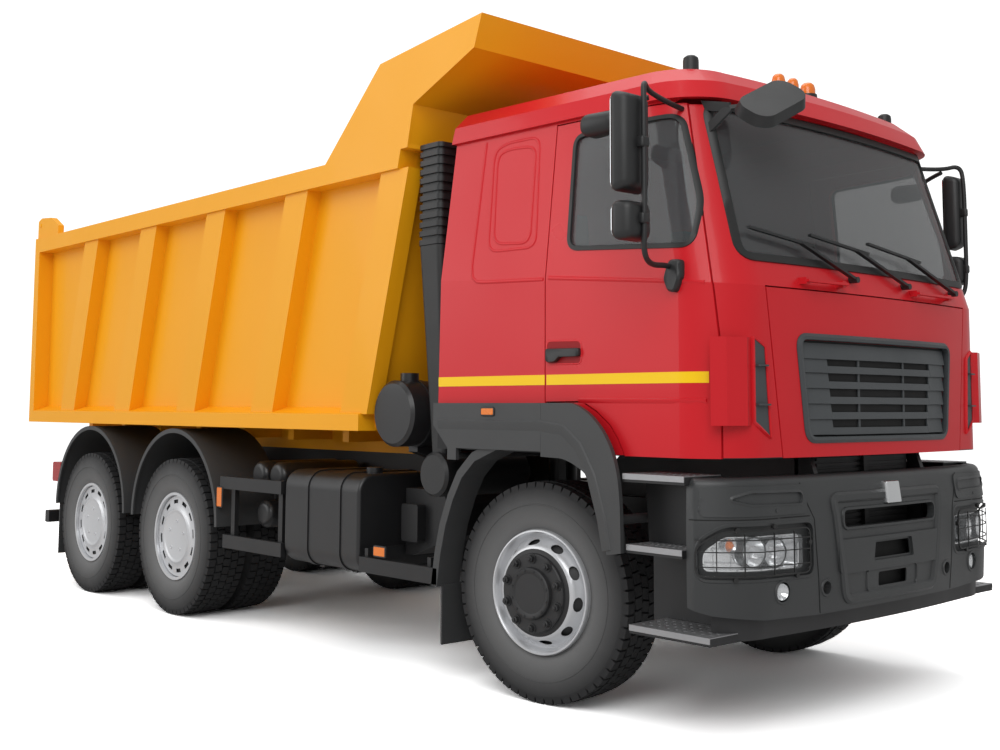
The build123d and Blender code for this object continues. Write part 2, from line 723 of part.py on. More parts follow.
with BuildPart() as air_tanks:
    for air_tank_x, air_tank_z in air_tank_places:
        with BuildSketch(side_plane(-air_tank_inner, air_tank_x)):
            with Locations((0, air_tank_z)):
                Circle(air_tank_radius)
        extrude(amount=air_tank_outer - air_tank_inner)
    fillet(air_tanks.edges().filter_by(GeomType.CIRCLE), 40)
    # hanger plate on the rail with two arms that pass between the tanks
    with BuildSketch(side_plane(-frame_half_width)):
        with Locations((-2545, rail_top - rail_height / 2)):
            Rectangle(330, rail_height - 20)
    extrude(amount=air_tank_inner - frame_half_width + 60)
save(air_tanks, "air_tanks")

# ---------------------------------------------------------------- valve box right, battery box and silencer left
with BuildPart() as equipment_box:
    with BuildSketch(side_plane(-frame_half_width)):
        with BuildLine():
            Polyline((-1240, 980), (-900, 980), (-860, 900), (-880, 700), (-1180, 600), (-1240, 600), close=True)
        make_face()
    extrude(amount=520)
    with BuildSketch(side_plane(-frame_half_width - 520)):
        with Locations((-1130, 790)):
            RectangleRounded(150, 210, 16)
    extrude(amount=60)
    # battery box on the left rail
    with BuildSketch(cross_plane(-1320)):
        with Locations(((520 + 1185) / 2, 820)):
            Rectangle(1185 - 520, 320)
    extrude(amount=600)
    fillet(equipment_box.faces().sort_by(Axis.Y)[-1].edges(), 24)
    with BuildSketch(cross_plane(-1270)):
        with Locations(((frame_half_width + 540) / 2, 850)):
            Rectangle(540 - frame_half_width, 90)
    extrude(amount=500)
save(equipment_box, "equipment_box")

with BuildPart() as silencer:
    with BuildSketch(cross_plane(-2300)):
        with Locations((880, 722)):
            RectangleRounded(560, 330, 90)
    extrude(amount=780)
    with BuildSketch(cross_plane(-2150)):
        with Locations(((frame_half_width + 620) / 2, 850)):
            Rectangle(620 - frame_half_width, 90)
    extrude(amount=480)
    # tail pipe out of the rear end
    with BuildSketch(cross_plane(-2420)):
        with Locations((820, 690)):
            Circle(60)
        with Locations((820, 690)):
            Circle(54, mode=Mode.SUBTRACT)
    extrude(amount=121)
save(silencer, "silencer")

# ---------------------------------------------------------------- side guards
guard_y = 1205
guard_thick = 30
guard_rails = ((-2900, -2140, 945, 80), (-2850, -2130, 565, 85))
guard_posts = (-2775, -2190)
guard_post_width = 46
front_guard = (-1300, -600, 562, 85)

with BuildPart() as side_guards:
    for rear_x, front_x, middle_z, rail_width in guard_rails + (front_guard,):
        with BuildSketch(side_plane(-guard_y)):
            with Locations(((rear_x + front_x) / 2, middle_z)):
                Rectangle(front_x - rear_x, rail_width)
        extrude(amount=guard_thick)
    for post_x in guard_posts:
        with BuildSketch(side_plane(-guard_y + guard_thick)):
            with Locations((post_x, (945 + 565) / 2)):
                Rectangle(guard_post_width, 945 - 565 + 80)
        extrude(amount=guard_thick)
        with BuildSketch(side_plane(-frame_half_width)):
            with Locations((post_x, 920)):
                Rectangle(guard_post_width, 50)
        extrude(amount=guard_y - frame_half_width)
    # front rail hangs from the valve box end and from an arm beside the wheel
    with BuildSketch(side_plane(-frame_half_width)):
        with Locations((-1270, 620), (-700, 620)):
            Rectangle(30, 60)
    extrude(amount=guard_y - frame_half_width)
    with BuildSketch(side_plane(-frame_half_width)):
        with Locations((-1270, 700), (-700, 700)):
            Rectangle(30, 200)
    extrude(amount=26)
    with BuildSketch(side_plane(-guard_y + guard_thick)):
        with Locations((-1270, 600), (-700, 600)):
            Rectangle(30, 100)
    extrude(amount=guard_thick)
    mirror(about=Plane.XZ)
save(side_guards, "side_guards")

# ---------------------------------------------------------------- rear mudguards, rear flaps and tail lamps
arch_z = 650
arch_radius = 640
arch_skin = 8
arch_lip = 30
arch_outer = 1250
arch_inner = 765
flap_x = -5600
flap_low = 240
flap_high = 710
lamp_front = -5640
lamp_rear = -5800
lamp_z = 900
lamp_low_edge = lamp_z - 76
lamp_outer = 1200

with BuildPart() as rear_mudguards:
    for axle_x, rear_arm_start in ((second_axle, frame_half_width), (third_axle, frame_half_width + hinge_plate)):
        with BuildSketch(side_plane(-arch_inner, axle_x)):
            with Locations((0, arch_z)):
                Circle(arch_radius)
                Circle(arch_radius - arch_skin, mode=Mode.SUBTRACT)
            with Locations((0, arch_z - arch_radius / 2)):
                Rectangle(2 * arch_radius + 10, arch_radius, mode=Mode.SUBTRACT)
        extrude(amount=arch_outer - arch_inner)
        # rolled outer lip
        with BuildSketch(side_plane(-arch_outer + 14, axle_x)):
            with Locations((0, arch_z)):
                Circle(arch_radius)
                Circle(arch_radius - arch_lip, mode=Mode.SUBTRACT)
            with Locations((0, arch_z - arch_radius / 2)):
                Rectangle(2 * arch_radius + 10, arch_radius, mode=Mode.SUBTRACT)
        extrude(amount=14)
        # arms from the frame to the feet of the arch
        for foot_x, arm_start in ((-arch_radius + 4, rear_arm_start), (arch_radius - 4, frame_half_width)):
            with BuildSketch(side_plane(-arm_start, axle_x)):
                with Locations((foot_x, rail_top - 45)):
                    Circle(20)
            extrude(amount=arch_inner + 120 - arm_start)
            with BuildSketch(side_plane(-arch_inner, axle_x)):
                with Locations((foot_x, (rail_top - 25 + arch_z) / 2)):
                    Rectangle(26, rail_top - 25 - arch_z)
            extrude(amount=40)
    # rear flap with the arm that carries it and the lamp bracket
    with BuildSketch(side_plane(-arch_inner)):
        with Locations((flap_x, (flap_low + flap_high) / 2)):
            Rectangle(12, flap_high - flap_low)
    extrude(amount=arch_outer - arch_inner - 40)
    with BuildSketch(side_plane(-frame_half_width)):
        with Locations((flap_x - 18, flap_high - 10)):
            Rectangle(48, 60)
    extrude(amount=lamp_outer - 30 - frame_half_width)
    mirror(about=Plane.XZ)
save(rear_mudguards, "rear_mudguards")

with BuildPart() as tail_lamps:
    with BuildSketch(side_plane(-lamp_outer + 440)):
        with Locations(((lamp_front + lamp_rear) / 2, lamp_z)):
            RectangleRounded(lamp_front - lamp_rear, 160, 20)
    extrude(amount=440)
    with BuildSketch(side_plane(-lamp_outer + 260)):
        with Locations((flap_x - 42, (flap_high + 20 + lamp_low_edge) / 2)):
            Rectangle(48, lamp_low_edge - flap_high - 20)
    extrude(amount=80)
    mirror(about=Plane.XZ)
save(tail_lamps, "tail_lamps")

# ---------------------------------------------------------------- front bumper
bumper_top = 1148
bumper_bottom = 494
valance_bottom = 368
bumper_nose = 1325
bumper_end_half = 1207
bumper_wall = 6
lamp_low = 700
lamp_high = 862
lamp_inner_y = 700
lamp_end_y = 1159
recess_half = 450
recess_top = 855
recess_low = 636
mouth_half = 372
mouth_low = 905
mouth_high = 1085
tow_eye_y = 529
tow_eye_z = 652
fog_y = 815
fog_z = 640


def bumper_plan(z, nose, half, inset):
    """Plan of the bumper at height z: a bowed front, rounded corners and short ends running back."""
    nose_in = nose - inset
    half_in = half - inset
    with BuildSketch(level(z)) as plan:
        with BuildLine():
            ThreePointArc((nose_in - 38, -860), (nose_in, 0), (nose_in - 38, 860))
            ThreePointArc((nose_in - 38, 860), (nose_in - 112, half_in - 96), (1108, half_in))
            Line((1108, half_in), (1060, half_in))
            Line((1060, half_in), (1060, -half_in))
            Line((1060, -half_in), (1108, -half_in))
            ThreePointArc((1108, -half_in), (nose_in - 112, -half_in + 96), (nose_in - 38, -860))
        make_face()
    return plan.sketch


def bumper_volume(inset, low, high):
    with BuildPart() as volume:
        add(bumper_plan(low, bumper_nose - 10, bumper_end_half - 8, inset))
        add(bumper_plan(700, bumper_nose, bumper_end_half, inset))
        loft(ruled=True)
        add(bumper_plan(700, bumper_nose, bumper_end_half, inset))
        add(bumper_plan(960, bumper_nose, bumper_end_half, inset))
        loft(ruled=True)
        add(bumper_plan(960, bumper_nose, bumper_end_half, inset))
        add(bumper_plan(high, bumper_nose - 22, bumper_end_half - 22, inset))
        loft(ruled=True)
    return volume.part


def lamp_window(grow):
    """Headlamp opening seen from ahead; it sweeps up a little towards the end of the bumper."""
    with BuildPart() as window:
        for side in (-1, 1):
            with BuildSketch(cross_plane(1060)):
                with BuildLine():
                    Polyline((side * (lamp_inner_y - grow), lamp_low + 12 - grow),
                             (side * (lamp_end_y + grow), lamp_low + 40 - grow),
                             (side * (lamp_end_y + grow), lamp_high + grow),
                             (side * (lamp_inner_y + 44 - grow), lamp_high - 26 + grow),
                             (side * (lamp_inner_y - grow), lamp_high - 80 + grow), close=True)
                make_face()
            extrude(amount=320)
    return window.part


with BuildPart() as bumper:
    add(bumper_volume(0, bumper_bottom, bumper_top))
    add(bumper_volume(bumper_wall, bumper_bottom - 1, bumper_top + 1), mode=Mode.SUBTRACT)
    # the skin is open at the rear, towards the frame
    with BuildSketch(cross_plane(1059)):
        with Locations((0, (bumper_bottom + bumper_top) / 2)):
            Rectangle(2 * bumper_end_half - 2 * bumper_wall - 20, bumper_top - bumper_bottom + 10)
    extrude(amount=bumper_wall + 2, mode=Mode.SUBTRACT)
    # radiator mouth, middle recess, lamp openings, fog lamp and tow-eye holes
    with BuildSketch(cross_plane(1200)):
        with BuildLine():
            Polyline((-mouth_half, mouth_low), (mouth_half, mouth_low), (mouth_half + 60, mouth_high),
                     (-mouth_half - 60, mouth_high), close=True)
        make_face()
    extrude(amount=160, mode=Mode.SUBTRACT)
    add(lamp_window(seam), mode=Mode.SUBTRACT)
    with BuildSketch(cross_plane(1200)):
        with Locations((-tow_eye_y, tow_eye_z), (tow_eye_y, tow_eye_z)):
            Circle(34)
        with Locations((-fog_y, fog_z - 52), (fog_y, fog_z - 52)):
            Circle(47)
    extrude(amount=160, mode=Mode.SUBTRACT)
    # pressed panel between the lamps
    with BuildSketch(cross_plane(bumper_nose - 30)):
        with BuildLine():
            Polyline((-recess_half, recess_top), (recess_half, recess_top), (recess_half - 40, recess_low),
                     (-recess_half + 40, recess_low), close=True)
        make_face()
    extrude(amount=60, mode=Mode.SUBTRACT)
    with BuildSketch(cross_plane(bumper_nose - 38)):
        with Locations((0, (recess_top + recess_low) / 2)):
            Rectangle(2 * recess_half + 30, recess_top - recess_low + 30)
    extrude(amount=8)
    # inner flanges bolted to the frame brackets
    with BuildSketch(side_plane(-frame_half_width - 22)):
        with Locations((bumper_nose - 60, 600)):
            Rectangle(100, 90)
        with Locations((bumper_nose - 60, 800)):
            Rectangle(100, 60)
    extrude(amount=20)
    mirror(about=Plane.XZ)
save(bumper, "bumper")

# ---------------------------------------------------------------- skid plate, front lamps, cab steps, front wings
with BuildPart() as skid_plate:
    with BuildSketch(side_plane(820)):
        Polygon((bumper_nose - 12, bumper_bottom - 4), (bumper_nose - 40, valance_bottom),
                (bumper_nose - 190, valance_bottom - 10), (bumper_nose - 190, valance_bottom + 2),
                (bumper_nose - 50, valance_bottom + 12), (bumper_nose - 24, bumper_bottom - 4), align=None)
    extrude(amount=1640)
    # tapered ends that rise towards the steps
    for side in (-1, 1):
        with BuildSketch(side_plane(side * 820)):
            Polygon((bumper_nose - 12, bumper_bottom - 4), (bumper_nose - 40, valance_bottom),
                    (bumper_nose - 52, valance_bottom), (bumper_nose - 24, bumper_bottom - 4), align=None)
        with BuildSketch(side_plane(side * 1130)):
            Polygon((1150, bumper_bottom - 4), (1140, valance_bottom + 60), (1128, valance_bottom + 60),
                    (1138, bumper_bottom - 4), align=None)
        loft(ruled=True)
    # hangers up to the tow beam
    for side in (-1, 1):
        with BuildSketch(side_plane(side * 340 + 11)):
            with Locations((bumper_bracket_front - 50, (valance_bottom + tow_beam_z - tow_beam_size / 2) / 2)):
                Rectangle(60, tow_beam_z - tow_beam_size / 2 - valance_bottom)
        extrude(amount=22)
save(skid_plate, "skid_plate")

lamp_skin = 4
lamp_arm_z = 800

with BuildPart() as front_lamps:
    # lens blocks follow the bumper's face and sit in the bumper's openings
    add(bumper_volume(lamp_skin, bumper_bottom, bumper_top))
    add(lamp_window(0), mode=Mode.INTERSECT)
    with BuildSketch(cross_plane(bumper_nose - 150)):
        with Locations((-fog_y, fog_z - 52), (fog_y, fog_z - 52)):
            Circle(40)
    extrude(amount=88)
    # carriers behind the lenses reach the bumper brackets
    for side in (-1, 1):
        with BuildSketch(cross_plane(1110)):
            with Locations((side * (frame_half_width + 22 + fog_y + 55) / 2, lamp_arm_z)):
                Rectangle(fog_y + 55 - frame_half_width - 22, 60)
            with Locations((side * fog_y, (lamp_arm_z + fog_z - 90) / 2)):
                Rectangle(110, lamp_arm_z - fog_z + 90 + 60)
        extrude(amount=70)
save(front_lamps, "front_lamps")

# treads: z, rear x, front x
step_rows = ((1150, 715, 1050), (838, 735, 1040), (512, 750, 1040))
step_outer = 1225
step_inner = 960
step_thick = 26
step_arm_x = 880

with BuildPart() as cab_steps:
    for tread_z, tread_rear, tread_front in step_rows:
        with BuildSketch(level(tread_z - step_thick)):
            with Locations(((tread_rear + tread_front) / 2, -(step_outer + step_inner) / 2)):
                Rectangle(tread_front - tread_rear, step_outer - step_inner)
        extrude(amount=step_thick)
    # riser behind the treads, side cheeks and the arms to the frame
    with BuildSketch(side_plane(-step_inner + 12)):
        Polygon((750, 486), (1040, 486), (1050, 1150), (715, 1150), align=None)
    extrude(amount=12)
    for cheek in (((716, 1150), (735, 812), (750, 486), (762, 486), (747, 812), (728, 1150)),
                  ((1038, 1150), (1028, 812), (1028, 486), (1040, 486), (1040, 812), (1050, 1150))):
        with BuildSketch(side_plane(-step_inner)):
            Polygon(*cheek, align=None)
        extrude(amount=step_outer - step_inner)
    for arm_z in (745, 910):
        with BuildSketch(side_plane(-frame_half_width - 22)):
            with Locations((step_arm_x, arm_z)):
                Rectangle(60, 60)
        extrude(amount=step_inner - 12 - frame_half_width - 22)
    mirror(about=Plane.XZ)
save(cab_steps, "cab_steps")

wing_outer = 1250
wing_inner = 1228
wing_lip = 1130
wing_seam_x = 205
front_flap = (-600, 210, 520)
wing_tube_z = 1000

with BuildPart() as front_fenders:
    # face of the wing between the door's lower edge and the wheel opening
    with BuildSketch(side_plane(-wing_inner)):
        with BuildLine():
            Line((wing_seam_x, 1212), (wing_seam_x, 1468))
            Line((wing_seam_x, 1468), (405, 1468))
            Spline((405, 1468), (590, 1362), (664, 1256), (715, 1045), (722, 800))
            Line((722, 800), (634, 786))
            Spline((634, 786), (610, 955), (535, 1112), (430, 1182), (339, 1208))
            Line((339, 1208), (wing_seam_x, 1212))
        make_face()
    extrude(amount=wing_outer - wing_inner)
    # return of the wheel opening
    with BuildSketch(side_plane(-wing_lip)):
        with BuildLine():
            Line((634, 786), (646, 788))
            Spline((646, 788), (622, 960), (545, 1121), (438, 1193), (343, 1219))
            Line((343, 1219), (339, 1208))
            Spline((339, 1208), (430, 1182), (535, 1112), (610, 955), (634, 786))
        make_face()
    extrude(amount=wing_outer - wing_lip)
    # tube from the frame that carries the wing
    with BuildSketch(side_plane(-frame_half_width)):
        with Locations((650, wing_tube_z - 60)):
            Circle(22)
    extrude(amount=wing_outer - 10 - frame_half_width)
    # rear flap of the front wheel on its own bar
    with BuildSketch(side_plane(-850)):
        with Locations((front_flap[0], (front_flap[1] + front_flap[2]) / 2)):
            Rectangle(12, front_flap[2] - front_flap[1])
    extrude(amount=350)
    with BuildSketch(side_plane(-frame_half_width)):
        with Locations((front_flap[0] - 22, rail_top - 240)):
            Circle(22)
    extrude(amount=750)
    with BuildSketch(side_plane(-1000)):
        with Locations((front_flap[0] - 15, (front_flap[2] + rail_top - 220) / 2 - 30)):
            Rectangle(20, rail_top - 220 - front_flap[2] + 60)
    extrude(amount=60)
    mirror(about=Plane.XZ)
save(front_fenders, "front_fenders")

# ---------------------------------------------------------------- cab shape
# One row per plan section: rear x, half width at the rear, start and end of the corner arc, nose x.
belt_rear_z = 2120
belt_front_z = 1980
belt_slope = atan2(belt_rear_z - belt_front_z, 1900)
corner_bulge = 67
cab_rows = {
    "base": (-620, 1220, (1000, 1170), (1255, 900), 1300),
    "belt": (-600, 1220, (1000, 1170), (1255, 900), 1300),
    "eaves": (-565, 1144, (760, 1079), (1016, 808), 1061),
    "lip": (-585, 1165, (800, 1100), (1060, 830), 1110),
    "moulding": (-575, 1150, (770, 1070), (1020, 800), 1070),
    "shoulder": (-560, 1075, (700, 1000), (930, 740), 970),
    "crown": (-450, 880, (600, 800), (800, 600), 830),
}
eaves_z = 2870
roof_levels = (("lip", 2865), ("moulding", 2955), ("shoulder", 3035), ("crown", 3085))
roof_drop = 28
cab_floor_z = 1310
cab_floor_under = 1280
tunnel_half = 420
tunnel_top = 1500
tunnel_wall = 35


def cab_plan(plane, row, inset, stretch=1.0):
    """Plan section of the cab on the given plane, drawn inside its outline by inset."""
    rear, half_rear, arc_start, arc_end, nose = cab_rows[row]
    rear_in = (rear + inset) * stretch
    start = (arc_start[0] * stretch, arc_start[1] - inset)
    end = ((arc_end[0] - inset) * stretch, arc_end[1])
    chord = sqrt((end[0] - start[0]) ** 2 + (end[1] - start[1]) ** 2)
    middle = ((start[0] + end[0]) / 2 + corner_bulge * (start[1] - end[1]) / chord,
              (start[1] + end[1]) / 2 + corner_bulge * (end[0] - start[0]) / chord)
    with BuildSketch(plane) as plan:
        with BuildLine():
            Line((rear_in, -half_rear + inset), (start[0], -start[1]))
            ThreePointArc((start[0], -start[1]), (middle[0], -middle[1]), (end[0], -end[1]))
            ThreePointArc((end[0], -end[1]), ((nose - inset) * stretch, 0), end)
            ThreePointArc(end, middle, start)
            Line(start, (rear_in, half_rear - inset))
            Line((rear_in, half_rear - inset), (rear_in, -half_rear + inset))
        make_face()
    return plan.sketch


def belt_plane():
    origin_z = belt_rear_z - 600 * (belt_rear_z - belt_front_z) / 1900
    return Plane(origin=at(0, 0, origin_z), x_dir=(cos(belt_slope), 0, -sin(belt_slope)),
                 z_dir=(sin(belt_slope), 0, cos(belt_slope)))


def cab_volume(inset, base_z=cab_bottom):
    """Cab body from base_z up to the eaves, as the space inside the outer skin by inset."""
    with BuildPart() as volume:
        add(cab_plan(level(base_z), "base", inset))
        add(cab_plan(belt_plane(), "belt", inset, 1 / cos(belt_slope)))
        loft(ruled=True)
        add(cab_plan(belt_plane(), "belt", inset, 1 / cos(belt_slope)))
        add(cab_plan(level(eaves_z), "eaves", inset))
        loft(ruled=True)
    return volume.part


def roof_volume(inset, drop):
    with BuildPart() as volume:
        for lower, upper in zip(roof_levels[:-1], roof_levels[1:]):
            add(cab_plan(level(lower[1] - drop), lower[0], inset))
            add(cab_plan(level(upper[1] - drop), upper[0], inset))
            loft(ruled=True)
    return volume.part


def prism(plane, outline, depth, radius=0.0, grow=0.0):
    """Outline with rounded corners, grown by a margin and pushed through by depth."""
    with BuildPart() as block:
        with BuildSketch(plane) as face:
            Polygon(*outline, align=None)
            if radius:
                fillet(face.vertices(), radius)
            if grow:
                offset(amount=grow, kind=Kind.INTERSECTION)
        extrude(amount=depth)
    return block.part


def box_between(low, high):
    with BuildPart() as block:
        with BuildSketch(level(low[2])):
            with Locations(((low[0] + high[0]) / 2, (low[1] + high[1]) / 2)):
                Rectangle(high[0] - low[0], high[1] - low[1])
        extrude(amount=high[2] - low[2])
    return block.part


# the door's lower rear edge follows the wing below it
door_front_x = 1165
door_outline = ((183, 1475), (183, 2845), (925, 2845), (1142, 1980), (door_front_x, 1700), (door_front_x, 1215),
                (690, 1215), (678, 1250), (646, 1308), (600, 1368), (515, 1432), (425, 1477))
door_window = ((320, 2212), (310, 2772), (918, 2785), (1052, 2360), (1045, 2162))
door_depth = 42
window_radius = 52
screen_outline = ((-988, 2112), (988, 2112), (948, 2838), (-948, 2838))
flap_outline = ((-780, 1215), (780, 1215), (877, 1980), (-877, 1980))
flap_depth = 28
# grab rails: y of each end
grab_rails = ((-630, -360), (300, 650))
grab_z = 2022
grab_reach = 42
grille_outline = ((-606, 1315), (606, 1315), (660, 1760), (-660, 1760))
door_hinge_x = 1172
door_hinge_y = 1118
door_hinge_rows = (1425, 1660)
hinge_eye_radius = 15
hinge_eye_height = 50
hinge_pin = 8
hinge_lug = 12
door_sweep_radius = 90
# plan of a hinge from its axis: forward, outward
hinge_strap = ((-2, 14), (-26, 8), (-40, -10), (-10, -30))
hinge_root = ((-8, -8), (-4, 12), (10, 10), (31, -33), (24, -73), (10, -58))
glass_inset = 8
glass_thick = 6
door_clear = 8


def door_side(side, outline, radius=0.0, grow=0.0):
    """Prism through one side wall only, from inside the cab's skin out past it."""
    return prism(side_plane(side * 850), outline, -side * 450, radius, grow)


def strut(start, end, width, depth):
    """Straight bar of rectangular section from one point to another."""
    way = Vector(*end) - Vector(*start)
    with BuildPart() as bar:
        with BuildSketch(Plane(origin=at(*start), z_dir=way)):
            Rectangle(width, depth)
        extrude(amount=way.length)
    return bar.part


def skin_x(y, z):
    """How far forward the cab's skin stands between belt and eaves, y across and z up."""
    rise = (z - belt_front_z) / (eaves_z - belt_front_z)
    reach = []
    for row in ("belt", "eaves"):
        nose, (arc_end_x, arc_end_y) = cab_rows[row][4], cab_rows[row][3]
        reach.append(nose - (nose - arc_end_x) * (y / arc_end_y) ** 2)
    return reach[0] + (reach[1] - reach[0]) * max(rise, 0)


cab_outer = cab_volume(0)
cab_inner = cab_volume(cab_wall, cab_floor_z)
door_zone = cab_volume(cab_wall + door_clear)

with BuildPart() as cab_shell:
    add(cab_outer)
    add(roof_volume(0, 0))
    add(cab_inner, mode=Mode.SUBTRACT)
    add(roof_volume(cab_wall - 6, roof_drop), mode=Mode.SUBTRACT)
    # space under the floor and the engine tunnel
    with BuildPart(mode=Mode.PRIVATE) as under_floor:
        add(cab_volume(cab_wall, cab_bottom - 1))
        add(box_between((-700, -1300, cab_floor_under), (1400, 1300, 3200)), mode=Mode.SUBTRACT)
    add(under_floor.part, mode=Mode.SUBTRACT)
    with BuildPart(mode=Mode.PRIVATE) as tunnel:
        add(box_between((-700, -tunnel_half, cab_floor_under), (1400, tunnel_half, tunnel_top)))
        add(cab_inner, mode=Mode.INTERSECT)
        add(box_between((-700, -tunnel_half + tunnel_wall, cab_floor_under - 5),
                        (1090, tunnel_half - tunnel_wall, tunnel_top - tunnel_wall)), mode=Mode.SUBTRACT)
    add(tunnel.part)
    with BuildPart(mode=Mode.PRIVATE) as tunnel_mouth:
        add(box_between((-700, -tunnel_half + tunnel_wall, cab_bottom - 5),
                        (1090, tunnel_half - tunnel_wall, tunnel_top - tunnel_wall)))
        add(cab_volume(cab_wall, cab_bottom - 10), mode=Mode.INTERSECT)
    add(tunnel_mouth.part, mode=Mode.SUBTRACT)
    # door openings cut the wall only, and the floor is notched where each door's hinge edge swings
    for side in (-1, 1):
        add(door_side(side, door_outline, grow=seam) - door_zone, mode=Mode.SUBTRACT)
        with BuildPart(mode=Mode.PRIVATE) as swing_notch:
            with BuildSketch(level(cab_floor_under, door_hinge_x, side * door_hinge_y)):
                Circle(door_sweep_radius)
                with Locations((door_sweep_radius - seam, 0)):
                    Rectangle(2 * door_sweep_radius, 2 * door_sweep_radius, mode=Mode.SUBTRACT)
            extrude(amount=cab_floor_z - cab_floor_under)
        add(swing_notch.part, mode=Mode.SUBTRACT)
    # windscreen opening and the seat for the front panel
    add(prism(cross_plane(700), screen_outline, 700, 60), mode=Mode.SUBTRACT)
    add(prism(cross_plane(1000), flap_outline, 400, 0, seam) - cab_volume(flap_depth), mode=Mode.SUBTRACT)
    # hinge roots with their pins ahead of each door
    for side in (-1, 1):
        for hinge_low in door_hinge_rows:
            for lug_low in (hinge_low - joint_gap - hinge_lug, hinge_low + hinge_eye_height + joint_gap):
                with BuildSketch(level(lug_low, door_hinge_x, side * door_hinge_y)):
                    Polygon(*[(x, side * y) for x, y in hinge_root], align=None)
                    Circle(hinge_pin + 4)
                extrude(amount=hinge_lug)
            with BuildSketch(level(hinge_low - joint_gap - 1, door_hinge_x, side * door_hinge_y)):
                Circle(hinge_pin)
            extrude(amount=hinge_eye_height + 2 * joint_gap + 2)
    # lugs under the floor that turn on the chassis's tilt pins
    for side in (-1, 1):
        with BuildSketch(side_plane(side * (frame_half_width + bumper_plate + joint_gap))):
            Polygon((cab_tilt_x - 95, cab_floor_under + 10), (cab_tilt_x - 28, cab_floor_under + 10),
                    (cab_tilt_x + 28, cab_tilt_z + 12), (cab_tilt_x - 28, cab_tilt_z - 12), align=None)
            with Locations((cab_tilt_x, cab_tilt_z)):
                Circle(tilt_ear_radius - 4)
                Circle(tilt_pin_radius + pin_play, mode=Mode.SUBTRACT)
        extrude(amount=-side * tilt_lug_thick)
    # box-section grab rails above the front flap
    for rail_ends in grab_rails:
        for y in rail_ends:
            add(strut((skin_x(y, grab_z) - 10, y, grab_z), (skin_x(y, grab_z) + grab_reach, y, grab_z), 30, 30))
        near, far = rail_ends
        add(strut((skin_x(near, grab_z) + grab_reach, near - 15, grab_z),
                  (skin_x(far, grab_z) + grab_reach, far + 15, grab_z), 30, 12))
save(cab_shell, "cab_shell")

with BuildPart() as front_panel:
    add(cab_outer)
    add(cab_volume(flap_depth, cab_bottom - 1), mode=Mode.SUBTRACT)
    add(prism(cross_plane(1000), flap_outline, 400), mode=Mode.INTERSECT)
    add(prism(cross_plane(1000), grille_outline, 400, 24), mode=Mode.SUBTRACT)
save(front_panel, "front_panel")

grille_bars = 5
grille_bar_height = 52
grille_skin = 3
grille_plate = 20

with BuildPart() as grille:
    add(cab_volume(grille_skin))
    add(cab_volume(flap_depth, cab_bottom - 1), mode=Mode.SUBTRACT)
    add(prism(cross_plane(1000), grille_outline, 400, 24), mode=Mode.INTERSECT)
    grille_pitch = (1760 - 1315 - 40) / grille_bars
    with BuildPart(mode=Mode.PRIVATE) as slots:
        for row in range(grille_bars):
            slot_z = 1315 + 26 + (row + 0.5) * grille_pitch
            add(box_between((1150, -640, slot_z - (grille_pitch - grille_bar_height) / 2),
                            (1400, 640, slot_z + (grille_pitch - grille_bar_height) / 2)))
        add(cab_volume(grille_plate), mode=Mode.SUBTRACT)
        add(prism(cross_plane(1000), grille_outline, 400, 24, -22), mode=Mode.INTERSECT)
    add(slots.part, mode=Mode.SUBTRACT)
save(grille, "grille")

with BuildPart() as windscreen:
    add(cab_volume(glass_inset))
    add(cab_volume(glass_inset + glass_thick, cab_bottom - 1), mode=Mode.SUBTRACT)
    add(prism(cross_plane(700), screen_outline, 700, 60), mode=Mode.INTERSECT)
save(windscreen, "windscreen")

for side_name, side in wheel_sides:
    with BuildPart() as door:
        add(cab_outer)
        add(cab_volume(cab_wall, cab_bottom - 1), mode=Mode.SUBTRACT)
        add(door_side(side, door_outline), mode=Mode.INTERSECT)
        add(door_side(side, door_window, window_radius), mode=Mode.SUBTRACT)
        # hinge straps on the leading edge, bored for the pins
        for hinge_low in door_hinge_rows:
            with BuildSketch(level(hinge_low, door_hinge_x, side * door_hinge_y)):
                Polygon(*[(x, side * y) for x, y in hinge_strap], align=None)
                Circle(hinge_eye_radius)
                Circle(hinge_pin + pin_play, mode=Mode.SUBTRACT)
            extrude(amount=hinge_eye_height)
    save(door, "door_" + side_name)
    with BuildPart() as door_glass:
        add(cab_volume(glass_inset))
        add(cab_volume(glass_inset + glass_thick, cab_bottom - 1), mode=Mode.SUBTRACT)
        add(door_side(side, door_window, window_radius), mode=Mode.INTERSECT)
    save(door_glass, "door_glass_" + side_name)

# ---------------------------------------------------------------- corner deflectors, wipers, wing tops
deflector_low = 1371
deflector_high = 1752
deflector_plan = ((1258, 1024), (1222, 1120), (1174, 1172), (1174, 1158), (1203, 1120), (1222, 1062), (1236, 960))

with BuildPart() as corner_deflectors:
    for side in (-1, 1):
        with BuildSketch(level(deflector_low)):
            Polygon(*[(x, side * y) for x, y in deflector_plan], align=None)
        extrude(amount=deflector_high - deflector_low)
    add(cab_outer, mode=Mode.SUBTRACT)
save(corner_deflectors, "corner_deflectors")

# wipers, all resting towards the truck's right: y of the pivot, of the arm's head and of the blade's two ends
wiper_rows = ((-242, -597, -938, -516), (227, -167, -522, -79), (749, 312, -57, 423))
wiper_pivot_z = 2052
blade_far_z = 2246
blade_near_z = 2192
wiper_stand_off = 34
wiper_thick = 12
blade_height = 20

